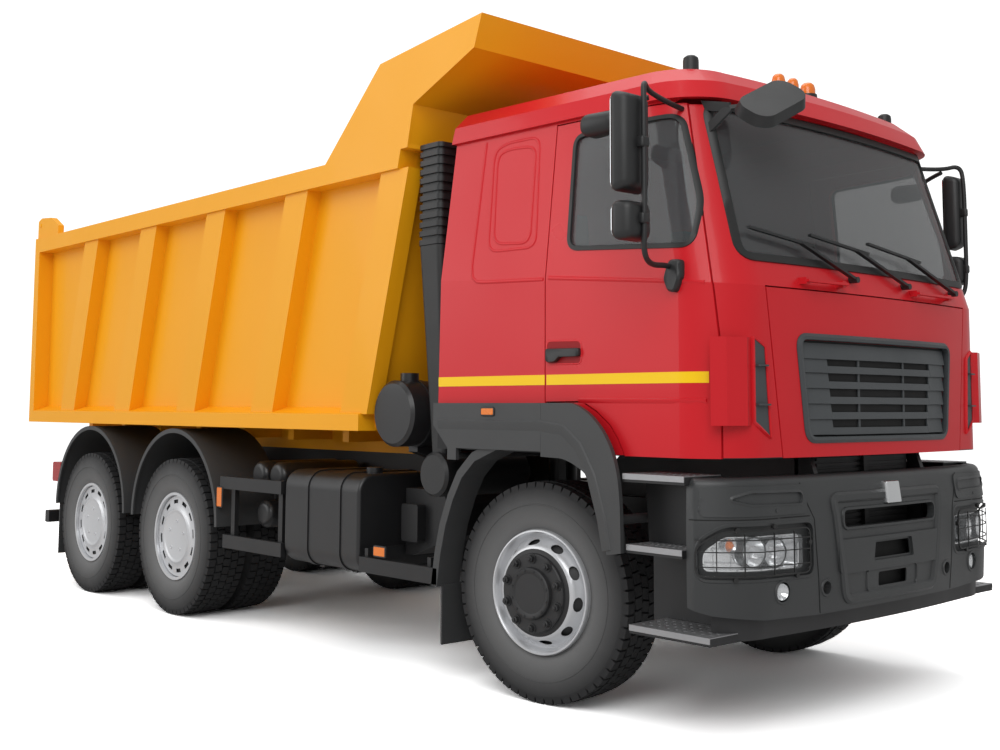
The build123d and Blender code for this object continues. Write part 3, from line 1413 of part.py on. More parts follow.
with BuildPart() as wipers:
    for pivot_y, head_y, far_y, near_y in wiper_rows:
        pivot_x = skin_x(pivot_y, wiper_pivot_z)
        far_end = (skin_x(far_y, blade_far_z) + wiper_stand_off, far_y, blade_far_z)
        near_end = (skin_x(near_y, blade_near_z) + wiper_stand_off, near_y, blade_near_z)
        along = (head_y - far_y) / (near_y - far_y)
        head = [a + (b - a) * along for a, b in zip(far_end, near_end)]
        with BuildSketch(cross_plane(pivot_x - wiper_thick)):
            with Locations((pivot_y, wiper_pivot_z)):
                Circle(wiper_thick + 3)
        extrude(amount=wiper_stand_off + 2 * wiper_thick)
        add(strut((pivot_x + wiper_stand_off, pivot_y, wiper_pivot_z), head, wiper_thick, 2 * wiper_thick))
        add(strut(far_end, near_end, wiper_thick, blade_height))
    add(cab_outer, mode=Mode.SUBTRACT)
save(wipers, "wipers")

# rear half of each wing: it stays on the chassis, clear of the cab's side as the cab tilts
wing_top_front = wing_seam_x - 1
wing_top_outline = ((-620, 1468), (wing_top_front, 1468), (wing_top_front, 1236), (-430, 1236), (-430, 1176),
                    (-500, 1176), (-500, 1236), (-620, 1352))
wing_stay_x = -465
wing_stay_z = 1195
wing_stay_radius = 15

with BuildPart() as fender_tops:
    with BuildSketch(side_plane(-wing_inner)):
        Polygon(*wing_top_outline, align=None)
    extrude(amount=wing_outer - wing_inner)
    # foot on the rail and the stay out to the wing
    with BuildSketch(side_plane(-frame_half_width)):
        with Locations((wing_stay_x, (wing_stay_z + wing_stay_radius + rail_middle_z) / 2)):
            Rectangle(56, wing_stay_z + wing_stay_radius - rail_middle_z)
    extrude(amount=14)
    with BuildSketch(side_plane(-frame_half_width)):
        with Locations((wing_stay_x, wing_stay_z)):
            Circle(wing_stay_radius)
    extrude(amount=wing_inner + 10 - frame_half_width)
    mirror(about=Plane.XZ)
save(fender_tops, "fender_tops")

# ---------------------------------------------------------------- roof lights, front mirror
marker_y = 859
marker_x = 829
beacon_row = ((-160, 28), (-40, 22), (120, 34))

with BuildPart() as roof_lights:
    for side in (-1, 1):
        with BuildSketch(level(2980, marker_x, side * marker_y)):
            RectangleRounded(100, 150, 20)
        extrude(amount=134)
    for beacon_y, beacon_radius in beacon_row:
        with BuildSketch(level(3050, 825, beacon_y)):
            Circle(beacon_radius)
        extrude(amount=82)
    with BuildSketch(cross_plane(770)):
        with Locations((0, 3078)):
            Rectangle(1500, 24)
    extrude(amount=34)
    add(roof_volume(0, 0), mode=Mode.SUBTRACT)
save(roof_lights, "roof_lights")

# rounded dish that looks down over the bumper, on a stay from a two-legged bracket on the right pillar
dish_centre = (1262, -812, 2796)
dish_normal = (0.62, -0.43, 0.70)
dish_across = (0.43, 0.62, 0)
dish_turn = 39
dish_size = (372, 208)
dish_corner = 84
dish_depth = 54
dish_taper = 14
bracket_apex = (1105, -925, 2806)
bracket_feet = ((915, -960, 2846), (960, -975, 2672))
bracket_section = (44, 14)
stay_section = (18, 18)

with BuildPart() as mirror_dish:
    with BuildSketch(Plane(origin=at(*dish_centre), x_dir=dish_across, z_dir=dish_normal)):
        RectangleRounded(*dish_size, dish_corner, rotation=dish_turn)
    extrude(amount=dish_depth, taper=dish_taper)
# the dish is the truck's foremost point
dish_shift = front_axle_x + front_overhang - mirror_dish.part.bounding_box().max.X

with BuildPart() as front_mirror:
    add(Pos(dish_shift, 0, 0) * mirror_dish.part)
    for foot in bracket_feet:
        add(strut(foot, bracket_apex, *bracket_section))
    add(strut(bracket_apex, (dish_centre[0] + dish_shift + dish_depth / 3, dish_centre[1], dish_centre[2] + 20),
              *stay_section))
    add(roof_volume(0, 0), mode=Mode.SUBTRACT)
    add(cab_outer, mode=Mode.SUBTRACT)
save(front_mirror, "front_mirror")

# ---------------------------------------------------------------- door mirrors and handles
# plan centre x and y, length, width, low and high z: main, wide-angle and kerb mirror
mirror_heads = ((980, 1450, 90, 200, 2350, 2812), (985, 1450, 110, 190, 2160, 2334), (720, 1350, 210, 140, 2670, 2782))
mirror_tube_x = 985
mirror_tube_y = 1395
mirror_tube_radius = 15
mirror_corner = 30

for side_name, side in wheel_sides:
    with BuildPart() as door_mirrors:
        for head_x, head_y, head_length, head_width, low_z, high_z in mirror_heads:
            with BuildSketch(level(low_z, head_x, side * head_y)):
                RectangleRounded(head_length, head_width, mirror_corner)
            extrude(amount=high_z - low_z)
        with BuildSketch(level(2110, mirror_tube_x - 60, side * mirror_tube_y)):
            Circle(mirror_tube_radius)
        extrude(amount=760)
        for arm_z, skin_y in ((2100, 1130), (2808, 1000)):
            with BuildSketch(side_plane(side * skin_y, 0)):
                with Locations((mirror_tube_x - 85, arm_z)):
                    RectangleRounded(60, 30, 8)
            extrude(amount=-side * (mirror_tube_y + 20 - skin_y))
        # the kerb mirror, last of the three, hangs on an arm of its own
        with BuildSketch(level(low_z + 30)):
            Polygon((head_x + 60, side * (head_y - 12)), (head_x + 60, side * (head_y + 12)),
                    (mirror_tube_x - 60, side * (mirror_tube_y + 12)),
                    (mirror_tube_x - 60, side * (mirror_tube_y - 12)), align=None)
        extrude(amount=28)
        # pull handle in the door skin
        with BuildSketch(side_plane(side * 1190)):
            with Locations((310, 1690)):
                RectangleRounded(170, 46, 18)
        extrude(amount=-side * 40)
        add(cab_outer, mode=Mode.SUBTRACT)
    save(door_mirrors, "door_mirrors_" + side_name)

# ---------------------------------------------------------------- cabin interior
seat_rows = ((-560, -40), (560, -40))
dash_rear = 790
dash_top = 1990
wheel_tilt = 38

with BuildPart() as cabin_interior:
    for seat_y, seat_x in seat_rows:
        with BuildSketch(level(cab_floor_z, seat_x + 30, seat_y)):
            Rectangle(380, 250)
        extrude(amount=330)
        with BuildSketch(side_plane(seat_y + 250)):
            Polygon((seat_x - 220, 1620), (seat_x + 310, 1640), (seat_x + 330, 1740), (seat_x - 140, 1745),
                    (seat_x - 230, 2330), (seat_x - 340, 2330), (seat_x - 290, 1640), align=None)
        extrude(amount=500)
        with BuildSketch(side_plane(seat_y + 140)):
            Polygon((seat_x - 232, 2320), (seat_x - 340, 2320), (seat_x - 350, 2520), (seat_x - 250, 2520),
                    align=None)
        extrude(amount=280)
    # dashboard across the cab with the instrument hood on the left
    with BuildSketch(side_plane(1080)):
        Polygon((dash_rear + 120, tunnel_top), (dash_rear + 90, 1680), (dash_rear, 1760), (dash_rear, 1900),
                (dash_rear + 120, dash_top), (1220, dash_top + 20), (1250, 1600), (1250, tunnel_top),
                align=None)
    extrude(amount=2160)
    with BuildSketch(side_plane(760)):
        Polygon((dash_rear + 10, 1880), (dash_rear + 60, dash_top + 60), (dash_rear + 240, dash_top + 50),
                (dash_rear + 260, 1900), align=None)
    extrude(amount=400)
    # steering column and wheel
    with BuildSketch(Plane(origin=at(dash_rear - 190, 560, 1990), x_dir=(0, 1, 0),
                           z_dir=(-cos(radians(wheel_tilt)), 0, sin(radians(wheel_tilt))))):
        Circle(230)
        Circle(200, mode=Mode.SUBTRACT)
        Rectangle(410, 60)
        Circle(60)
    extrude(amount=26)
    with BuildSketch(Plane(origin=at(dash_rear - 190, 560, 1990), x_dir=(0, 1, 0),
                           z_dir=(cos(radians(wheel_tilt)), 0, -sin(radians(wheel_tilt))))):
        Circle(36)
    extrude(amount=330)
    add(cab_volume(cab_wall + 60, cab_floor_z), mode=Mode.INTERSECT)
save(cabin_interior, "cabin_interior")

# ---------------------------------------------------------------- tipper body
ledge_low = 1310
ledge_high = 1405
panel_y = 1130
panel_top = 2780
floor_thick = 8
front_low_x = -1330
front_high_x = -930
front_lean = (front_high_x - front_low_x) / (body_rail_top - ledge_low)
rear_post_x = -6240
rear_post_width = 95
rib_first = -5474
rib_shift = 372
rib_half = 132
rib_top_half = 128
rib_depth = 100
long_half_inner = 350
long_half_outer = frame_half_width
long_low = subframe_top
long_rear = -5250
lug_radius = 70
tail_gate_pivot = (-6190, 3020)
gate_clear = 8
bearer_half = 745
tail_hook_y = 1205
tail_hook_width = 50
tail_pin_radius = 18
bed_eye_x = -860
bed_eye_z = 2450
canopy_side = ((-1712, body_rail_top - 20), (-1139, 3412), (-243, 3502), (-305, 3329), (-824, 3120),
               (-874, body_rail_top - 20))
canopy_visor = ((-874, body_rail_top - 6), (-824, 3120), (-305, 3329), (-243, 3502), (-256, 3500.5),
                (-316, 3338), (-833, 3129), (-886, body_rail_top - 6))


def bed_front_x(z):
    """Front face of the leaning front wall at height z."""
    return front_low_x + (z - ledge_low) * front_lean


with BuildPart() as bed:
    # floor plate and the tapered sill ledges
    with BuildSketch(side_plane(body_half_width)):
        Polygon((rear_post_x, ledge_low), (front_low_x, ledge_low), (bed_front_x(ledge_low + 30), ledge_low + 30),
                (rear_post_x, ledge_low + 30), align=None)
    extrude(amount=2 * body_half_width)
    with BuildSketch(cross_plane(rear_post_x)):
        Polygon((-body_half_width, ledge_low), (-body_half_width, ledge_high), (-panel_y, ledge_high + 40),
                (-panel_y, ledge_low), align=None)
    extrude(amount=front_low_x + 24 - rear_post_x)
    # side wall, top rail and rear post
    with BuildSketch(side_plane(-panel_y + body_wall)):
        Polygon((rear_post_x, ledge_low), (front_low_x, ledge_low), (bed_front_x(body_rail_top), body_rail_top),
                (rear_post_x, body_rail_top), align=None)
    extrude(amount=body_wall)
    with BuildSketch(side_plane(-panel_y + body_wall)):
        Polygon((rear_post_x, panel_top), (bed_front_x(panel_top), panel_top),
                (bed_front_x(body_rail_top), body_rail_top), (rear_post_x, body_rail_top), align=None)
    extrude(amount=body_half_width - panel_y + body_wall)
    with BuildSketch(side_plane(-panel_y)):
        Polygon((rear_post_x, ledge_high), (rear_post_x + rear_post_width, ledge_high),
                (rear_post_x + rear_post_width, panel_top), (rear_post_x, panel_top), align=None)
    extrude(amount=body_half_width - panel_y)
    # leaning ribs between ledge and rail
    for rib in range(rib_count):
        rib_x = rib_first + rib * rib_pitch
        with BuildSketch(side_plane(-panel_y)):
            Polygon((rib_x - rib_half, ledge_high), (rib_x + rib_half, ledge_high),
                    (rib_x + rib_shift + rib_top_half, panel_top), (rib_x + rib_shift - rib_top_half, panel_top),
                    align=None)
        extrude(amount=rib_depth)
    mirror(about=Plane.XZ)
    # front wall with its top rail
    with BuildSketch(side_plane(panel_y)):
        Polygon((front_low_x, ledge_low), (front_low_x + 24, ledge_low),
                (front_high_x, body_rail_top), (front_high_x - 24, body_rail_top), align=None)
    extrude(amount=2 * panel_y)
    # long members that rest on the subframe, with the hinge lugs at the rear
    for side in (-1, 1):
        lug_y = side * (long_half_inner + long_half_outer) / 2
        with BuildSketch(cross_plane(long_rear)):
            with Locations((lug_y, (long_low + ledge_low) / 2)):
                Rectangle(long_half_outer - long_half_inner, ledge_low - long_low)
        extrude(amount=front_low_x - long_rear)
        with BuildSketch(side_plane(side * (long_half_outer - lug_gap - (0 if side > 0 else lug_width)))):
            with BuildLine():
                Polyline((hinge_x - lug_radius, hinge_z), (hinge_x - lug_radius - 60, ledge_low),
                         (long_rear + 2, ledge_low), (long_rear + 2, long_low + 4),
                         (hinge_x + 110, long_low + 4), (hinge_x + lug_radius, hinge_z), close=True)
            make_face()
            with Locations((hinge_x, hinge_z)):
                Circle(lug_radius)
                Circle(hinge_pin_radius + pin_play, mode=Mode.SUBTRACT)
        extrude(amount=lug_width)
    # cross bearers under the floor
    for bearer in range(8):
        with BuildSketch(side_plane(bearer_half, rear_post_x + 120 + bearer * 660)):
            with Locations((0, ledge_low - 45)):
                Rectangle(70, 90)
        extrude(amount=2 * bearer_half)
    # hoist bracket on the front wall: two ears that stand ahead of it
    for side in (-1, 1):
        with BuildSketch(side_plane(side * (hoist_eye_half + hoist_ear_gap) + (hoist_ear if side > 0 else 0))):
            Polygon((bed_front_x(2300) - 10, 2300), (bed_front_x(2620) - 10, 2620), (bed_eye_x + 55, bed_eye_z + 50),
                    (bed_eye_x + 55, bed_eye_z - 50), align=None)
            with Locations((bed_eye_x, bed_eye_z)):
                Circle(hoist_pin_radius + 8, mode=Mode.SUBTRACT)
        extrude(amount=hoist_ear)
    # canopy over the cab: visor plate, front lip and side plates
    for side in (-1, 1):
        with BuildSketch(side_plane(side * body_half_width + (12 if side < 0 else 0))):
            Polygon(*canopy_side, align=None)
        extrude(amount=12)
    with BuildSketch(side_plane(body_half_width - 12)):
        Polygon(*canopy_visor, align=None)
    extrude(amount=2 * body_half_width - 24)
    # rear hooks that carry the tailgate's hinge
    for side in (-1, 1):
        with BuildSketch(side_plane(side * tail_hook_y + tail_hook_width / 2)):
            Polygon((rear_post_x, body_rail_top - 10), (-5800, body_rail_top - 10), (-5800, 2985), (-5960, 3068),
                    (tail_gate_pivot[0] + 20, 3085), (rear_post_x, 3060), align=None)
            with Locations(tail_gate_pivot):
                Circle(tail_pin_radius + pin_play, mode=Mode.SUBTRACT)
        extrude(amount=tail_hook_width)
save(bed, "bed")

# ---------------------------------------------------------------- tailgate
gate_half = 1110
gate_low = ledge_low + 30 + gate_clear
gate_front_x = rear_post_x + 90
gate_plate = 10
gate_beam_low = 2920
gate_beam_high = 2968
gate_arm_y = 1156
gate_arm_width = 32

with BuildPart() as tailgate:
    with BuildSketch(cross_plane(gate_front_x - gate_plate)):
        with Locations((0, (gate_low + gate_beam_high) / 2)):
            Rectangle(2 * gate_half, gate_beam_high - gate_low)
    extrude(amount=gate_plate)
    # frame and pressed ribs on the outer face
    with BuildSketch(cross_plane(rear_post_x)):
        with Locations((0, (gate_low + gate_beam_high) / 2)):
            Rectangle(2 * gate_half, gate_beam_high - gate_low)
            Rectangle(2 * gate_half - 180, gate_beam_high - gate_low - 240, mode=Mode.SUBTRACT)
        with Locations((-370, (gate_low + gate_beam_high) / 2), (370, (gate_low + gate_beam_high) / 2)):
            Rectangle(110, gate_beam_high - gate_low)
        with Locations((0, 1880), (0, 2380)):
            Rectangle(2 * gate_half, 90)
    extrude(amount=gate_front_x - gate_plate - rear_post_x)
    # top beam, hinge arms and their pins
    with BuildSketch(cross_plane(rear_post_x)):
        with Locations((0, (gate_beam_low + gate_beam_high) / 2)):
            Rectangle(2 * (gate_arm_y + gate_arm_width / 2), gate_beam_high - gate_beam_low)
    extrude(amount=80)
    for side in (-1, 1):
        with BuildSketch(side_plane(side * gate_arm_y + gate_arm_width / 2)):
            Polygon((rear_post_x, gate_beam_low), (rear_post_x + 80, gate_beam_low),
                    (tail_gate_pivot[0] + 34, tail_gate_pivot[1]), (tail_gate_pivot[0] - 34, tail_gate_pivot[1]),
                    align=None)
            with Locations(tail_gate_pivot):
                Circle(34)
        extrude(amount=gate_arm_width)
        with BuildSketch(side_plane(side * gate_arm_y)):
            with Locations(tail_gate_pivot):
                Circle(tail_pin_radius)
        extrude(amount=-side * (tail_hook_y + tail_hook_width / 2 + 5 - gate_arm_y))
save(tailgate, "tailgate")

# ---------------------------------------------------------------- telescopic hoist behind the cab
hoist_length = sqrt((bed_eye_x - hoist_x) ** 2 + (bed_eye_z - hoist_z) ** 2)
hoist_line = Vector((bed_eye_x - hoist_x) / hoist_length, 0, (bed_eye_z - hoist_z) / hoist_length)
slide_play = 0.05
barrel_radius = 88
# one row per stage: outer radius, inner radius, foot, head
stage_rows = ((76, 64, 115, 1455), (64 - slide_play, 52, 120, 1470), (52 - slide_play, 0, 125, hoist_length))


def hoist_plane(distance):
    """Plane across the hoist's line at a distance from its bottom pin."""
    return Plane(origin=Vector(*at(hoist_x, 0, hoist_z)) + hoist_line * distance, x_dir=(0, 1, 0), z_dir=hoist_line)


with BuildPart() as hoist_barrel:
    with BuildSketch(hoist_plane(0)):
        Circle(barrel_radius)
    extrude(amount=1440)
    with BuildSketch(hoist_plane(0)):
        Circle(400)
    extrude(amount=70, mode=Mode.SUBTRACT)
    with BuildSketch(side_plane(hoist_eye_half)):
        with Locations((hoist_x, hoist_z)):
            Circle(60)
    extrude(amount=2 * hoist_eye_half)
    with BuildSketch(hoist_plane(0)):
        Rectangle(2 * hoist_eye_half, 84)
    extrude(amount=80)
    with BuildSketch(side_plane(hoist_eye_half + 1)):
        with Locations((hoist_x, hoist_z)):
            Circle(hoist_pin_radius + pin_play)
    extrude(amount=2 * hoist_eye_half + 2, mode=Mode.SUBTRACT)
    with BuildSketch(hoist_plane(112)):
        Circle(stage_rows[0][0] + slide_play)
    extrude(amount=1440, mode=Mode.SUBTRACT)
save(hoist_barrel, "hoist_barrel")

for number, (outer, inner, foot, head) in enumerate(stage_rows, 1):
    with BuildPart() as stage:
        with BuildSketch(hoist_plane(foot)):
            Circle(outer)
            if inner:
                Circle(inner, mode=Mode.SUBTRACT)
        extrude(amount=head - foot)
        if number == len(stage_rows):
            with BuildSketch(side_plane(hoist_eye_half - 5)):
                with Locations((bed_eye_x, bed_eye_z)):
                    Circle(58)
            extrude(amount=2 * hoist_eye_half - 10)
            with BuildSketch(side_plane(hoist_eye_half)):
                with Locations((bed_eye_x, bed_eye_z)):
                    Circle(hoist_pin_radius + pin_play)
            extrude(amount=2 * hoist_eye_half, mode=Mode.SUBTRACT)
    save(stage, "hoist_stage_" + str(number))
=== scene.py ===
import json
import math

import bmesh
import bpy
from mathutils import Matrix, Vector


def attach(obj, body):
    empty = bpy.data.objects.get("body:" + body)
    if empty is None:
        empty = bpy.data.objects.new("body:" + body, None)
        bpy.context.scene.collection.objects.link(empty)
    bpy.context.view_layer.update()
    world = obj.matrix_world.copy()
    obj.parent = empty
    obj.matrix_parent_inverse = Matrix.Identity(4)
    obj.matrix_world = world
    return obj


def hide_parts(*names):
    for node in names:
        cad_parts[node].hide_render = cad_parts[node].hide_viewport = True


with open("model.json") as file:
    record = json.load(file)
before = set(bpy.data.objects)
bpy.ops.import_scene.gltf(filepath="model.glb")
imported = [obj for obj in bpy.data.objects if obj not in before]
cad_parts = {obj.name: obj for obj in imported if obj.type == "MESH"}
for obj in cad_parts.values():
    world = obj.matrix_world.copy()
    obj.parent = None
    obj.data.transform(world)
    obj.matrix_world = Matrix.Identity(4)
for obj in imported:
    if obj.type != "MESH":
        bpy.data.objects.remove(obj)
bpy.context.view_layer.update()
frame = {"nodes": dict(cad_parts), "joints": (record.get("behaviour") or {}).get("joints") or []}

# ---------------------------------------------------------------- tyres
# Steel-belted truck tyres: a spun carcass with bead, side wall and shoulder, and five rows of tread
# blocks moulded on the crown. The rubber is black on the tread and painted lighter grey down to the
# bead, a painted highlight on the side wall.
TYRE_RADIUS = 0.54
GROOVE_FLOOR = 0.523
BLOCKS_ROUND = 58
DUAL_SPACING = 0.332
CARCASS = ((0.292, 0.116), (0.309, 0.119), (0.318, 0.128), (0.352, 0.143), (0.395, 0.1505), (0.425, 0.152),
           (0.4262, 0.1545), (0.431, 0.1545), (0.4322, 0.152), (0.47, 0.1465), (0.497, 0.1395),
           (0.506, 0.139), (0.519, 0.131), (0.523, 0.112))
# block rows: start and end across the crown, phase round it, skew in degrees
TREAD_ROWS = ((-0.134, -0.084, 0.0, 0), (-0.078, -0.030, 0.5, 9), (-0.024, 0.024, 0.0, -9),
              (0.030, 0.078, 0.5, 9), (0.084, 0.134, 0.0, 0))


def grain_group():
    """Fine noise with named inputs: gives a height and a mask of uneven wear."""
    group = bpy.data.node_groups.new("fine_grain", "ShaderNodeTree")
    group.interface.new_socket("Scale", in_out="INPUT", socket_type="NodeSocketFloat")
    group.interface.new_socket("Patches", in_out="INPUT", socket_type="NodeSocketFloat")
    group.interface.new_socket("Height", in_out="OUTPUT", socket_type="NodeSocketFloat")
    group.interface.new_socket("Wear", in_out="OUTPUT", socket_type="NodeSocketFloat")
    entry = group.nodes.new("NodeGroupInput")
    leave = group.nodes.new("NodeGroupOutput")
    place = group.nodes.new("ShaderNodeTexCoord")
    fine = group.nodes.new("ShaderNodeTexNoise")
    broad = group.nodes.new("ShaderNodeTexNoise")
    fine.inputs["Detail"].default_value = 4
    broad.inputs["Detail"].default_value = 6
    for noise, socket in ((fine, "Scale"), (broad, "Patches")):
        group.links.new(place.outputs["Object"], noise.inputs["Vector"])
        group.links.new(entry.outputs[socket], noise.inputs["Scale"])
    group.links.new(fine.outputs["Fac"], leave.inputs["Height"])
    group.links.new(broad.outputs["Fac"], leave.inputs["Wear"])
    return group


GRAIN = grain_group()


def finish(name, colour, rough, metal=0.0, coat=0.0, bump=0.0, scale=300.0, patches=3.0, uneven=0.06,
           shade=0.1, gloss=0.5):
    """One paint, plastic or metal: rough wanders by uneven, and the colour darkens by shade in patches."""
    made = bpy.data.materials.new(name)
    made.use_nodes = True
    tree = made.node_tree
    shader = tree.nodes["Principled BSDF"]
    grain = tree.nodes.new("ShaderNodeGroup")
    grain.node_tree = GRAIN
    grain.inputs["Scale"].default_value = scale
    grain.inputs["Patches"].default_value = patches
    spread = tree.nodes.new("ShaderNodeMapRange")
    spread.inputs["From Min"].default_value = 0.3
    spread.inputs["From Max"].default_value = 0.7
    spread.inputs["To Min"].default_value = rough - uneven
    spread.inputs["To Max"].default_value = rough + uneven
    tree.links.new(grain.outputs["Wear"], spread.inputs["Value"])
    tree.links.new(spread.outputs["Result"], shader.inputs["Roughness"])
    blend = tree.nodes.new("ShaderNodeMix")
    blend.data_type = "RGBA"
    blend.inputs["A"].default_value = (*colour, 1)
    blend.inputs["B"].default_value = (*[c * (1 - shade) for c in colour], 1)
    tree.links.new(grain.outputs["Wear"], blend.inputs["Factor"])
    tree.links.new(blend.outputs["Result"], shader.inputs["Base Color"])
    shader.inputs["Metallic"].default_value = metal
    shader.inputs["Specular IOR Level"].default_value = gloss
    shader.inputs["Coat Weight"].default_value = coat
    shader.inputs["Coat Roughness"].default_value = 0.06
    if bump:
        relief = tree.nodes.new("ShaderNodeBump")
        relief.inputs["Strength"].default_value = bump
        relief.inputs["Distance"].default_value = 0.002
        tree.links.new(grain.outputs["Height"], relief.inputs["Height"])
        tree.links.new(relief.outputs["Normal"], shader.inputs["Normal"])
    return made


def piece(name, form, material, body, stands_for=(), smooth=30.0):
    """Turns a finished bmesh into a piece that rides on a body; faces under the angle are shaded smooth."""
    bmesh.ops.recalc_face_normals(form, faces=form.faces)
    mesh = bpy.data.meshes.new(name)
    form.to_mesh(mesh)
    form.free()
    mesh.materials.append(material)
    made = bpy.data.objects.new(name, mesh)
    bpy.context.collection.objects.link(made)
    if smooth:
        mesh.shade_smooth()
        mesh.set_sharp_from_angle(angle=math.radians(smooth))
    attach(made, body)
    if stands_for:
        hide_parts(*stands_for)
    return made


def tyre_form():
    """One tyre round the Y axis at the origin."""
    form = bmesh.new()
    bead_highlight = form.verts.layers.float.new("bead_highlight")
    ring = ([form.verts.new((0, -y, r)) for r, y in CARCASS]
            + [form.verts.new((0, y, r)) for r, y in CARCASS[::-1]])
    # painted highlight: each corner's share of the lighter side-wall grey grows towards the bead
    for corner in ring:
        corner[bead_highlight] = min(1, max(0, (0.515 - corner.co.z) / 0.2))
    edges = [form.edges.new((a, b)) for a, b in zip(ring[:-1], ring[1:])]
    bmesh.ops.spin(form, geom=ring + edges, axis=(0, 1, 0), cent=(0, 0, 0), angle=math.tau, steps=96,
                   use_merge=True)
    for start, end, phase, skew in TREAD_ROWS:
        outer_row = abs(start + end) > 0.2
        for block in range(BLOCKS_ROUND):
            made = bmesh.ops.create_cube(form, size=1.0)["verts"]
            length = math.tau * TYRE_RADIUS / BLOCKS_ROUND * (0.84 if outer_row else 0.9)
            top = TYRE_RADIUS - (0.004 if outer_row else 0.0)
            bmesh.ops.scale(form, verts=made, vec=(length, end - start, top - GROOVE_FLOOR + 0.01))
            for corner in made:
                if corner.co.z > 0:
                    corner.co.x *= 0.93
                elif outer_row and corner.co.y * (start + end) > 0:
                    corner.co.y *= 1.22
                    corner.co.z -= 0.012
            bmesh.ops.translate(form, verts=made, vec=(0, (start + end) / 2, (top + GROOVE_FLOOR - 0.01) / 2))
            turn = Matrix.Rotation(math.tau * (block + phase) / BLOCKS_ROUND, 4, "Y")
            twist = Matrix.Rotation(math.radians(skew), 4, "Z")
            bmesh.ops.transform(form, matrix=turn @ twist, verts=made)
    return form


RUBBER = finish("tyre_rubber", (0.022, 0.022, 0.023), 0.7, bump=0.35, scale=260, shade=0.25, patches=9,
                gloss=0.35)
rubber_tree = RUBBER.node_tree
# painted highlight: the side wall's colour is mixed towards light grey by that share
bead_highlight_mask = rubber_tree.nodes.new("ShaderNodeAttribute")
bead_highlight_mask.attribute_name = "bead_highlight"
bead_highlight_mix = rubber_tree.nodes.new("ShaderNodeMix")
bead_highlight_mix.data_type = "RGBA"
bead_highlight_mix.inputs["B"].default_value = (0.15, 0.15, 0.15, 1)
rubber_tree.links.new(bead_highlight_mask.outputs["Fac"], bead_highlight_mix.inputs["Factor"])
rubber_shader = rubber_tree.nodes["Principled BSDF"]
rubber_tree.links.new(rubber_shader.inputs["Base Color"].links[0].from_socket, bead_highlight_mix.inputs["A"])
rubber_tree.links.new(bead_highlight_mix.outputs["Result"], rubber_shader.inputs["Base Color"])

WHEELS = {}
for joint in frame["joints"]:
    if "wheel" in joint["child"]:
        centre = Vector(joint["pos_m"])
        turn = math.atan2(-joint["axis"][0], joint["axis"][1])
        WHEELS[joint["child"]] = Matrix.Translation(centre) @ Matrix.Rotation(turn, 4, "Z")

for body, place in WHEELS.items():
    outward = -1 if body.endswith("right") else 1
    node = body.replace("wheels_", "tyres_").replace("wheel_", "tyre_")
    for number, inboard in enumerate((0,) if "front" in body else (0, DUAL_SPACING)):
        form = tyre_form()
        bmesh.ops.transform(form, matrix=place @ Matrix.Translation((0, -outward * inboard, 0)),
                            verts=form.verts)
        piece(f"{node}_{number}", form, RUBBER, body, (node,), smooth=35)

# ---------------------------------------------------------------- front hubs
# The planetary hub of each front wheel: turned and drilled cast iron in black paint, with a raised
# ring of small bolts round a plain cap and ten wheel nuts on their washers.
HUB_SECTION = ((0.0, 0.1215), (0.096, 0.1215), (0.101, 0.1245), (0.108, 0.127), (0.117, 0.127),
               (0.123, 0.122), (0.127, 0.1045), (0.185, 0.1025), (0.191, 0.098), (0.193, 0.084),
               (0.206, 0.08), (0.213, 0.074), (0.213, 0.066), (0.0, 0.066))
NUT_CIRCLE = 0.1675
NUT_COUNT = 10
CAP_BOLTS = 12
CAP_BOLT_CIRCLE = 0.1125
# how far the hub stands out of the wheel's own plane, added to its sections
HUB_OUT = 0.092
NUT_WASHER = ((0.0, 0.108), (0.0245, 0.108), (0.0255, 0.106), (0.0255, 0.1), (0.0, 0.1))
NUT = ((0.0, 0.127), (0.0135, 0.127), (0.0175, 0.124), (0.0175, 0.106), (0.0, 0.106))
STUD_END = ((0.0, 0.134), (0.0075, 0.134), (0.009, 0.1325), (0.009, 0.125), (0.0, 0.125))
CAP_BOLT = ((0.0, 0.131), (0.005, 0.131), (0.0062, 0.1295), (0.0062, 0.126), (0.0, 0.126))
HEX = 6


def lathe(form, section, steps=72, place=None):
    """Spins (radius, height) corners round the Z axis and moves the result to its place."""
    before = set(form.verts)
    ring = [form.verts.new((radius, 0, height)) for radius, height in section]
    edges = [form.edges.new(pair) for pair in zip(ring[:-1], ring[1:])]
    bmesh.ops.spin(form, geom=ring + edges, axis=(0, 0, 1), cent=(0, 0, 0), angle=math.tau, steps=steps,
                   use_merge=True)
    made = [corner for corner in form.verts if corner not in before]
    bmesh.ops.remove_doubles(form, verts=made, dist=0.00001)
    made = [corner for corner in form.verts if corner not in before]
    if place is not None:
        bmesh.ops.transform(form, matrix=place, verts=made)


def axle_frame(body):
    """Wheel frame whose Z axis points out of the truck along the axle."""
    return WHEELS[body] @ Matrix.Rotation(math.radians(90 if body.endswith("right") else -90), 4, "X")


def around(radius, number, count, phase=0.5):
    """Place of one of a ring of like parts on an axle frame."""
    angle = math.tau * (number + phase) / count
    return Matrix.Rotation(angle, 4, "Z") @ Matrix.Translation((radius, 0, 0))


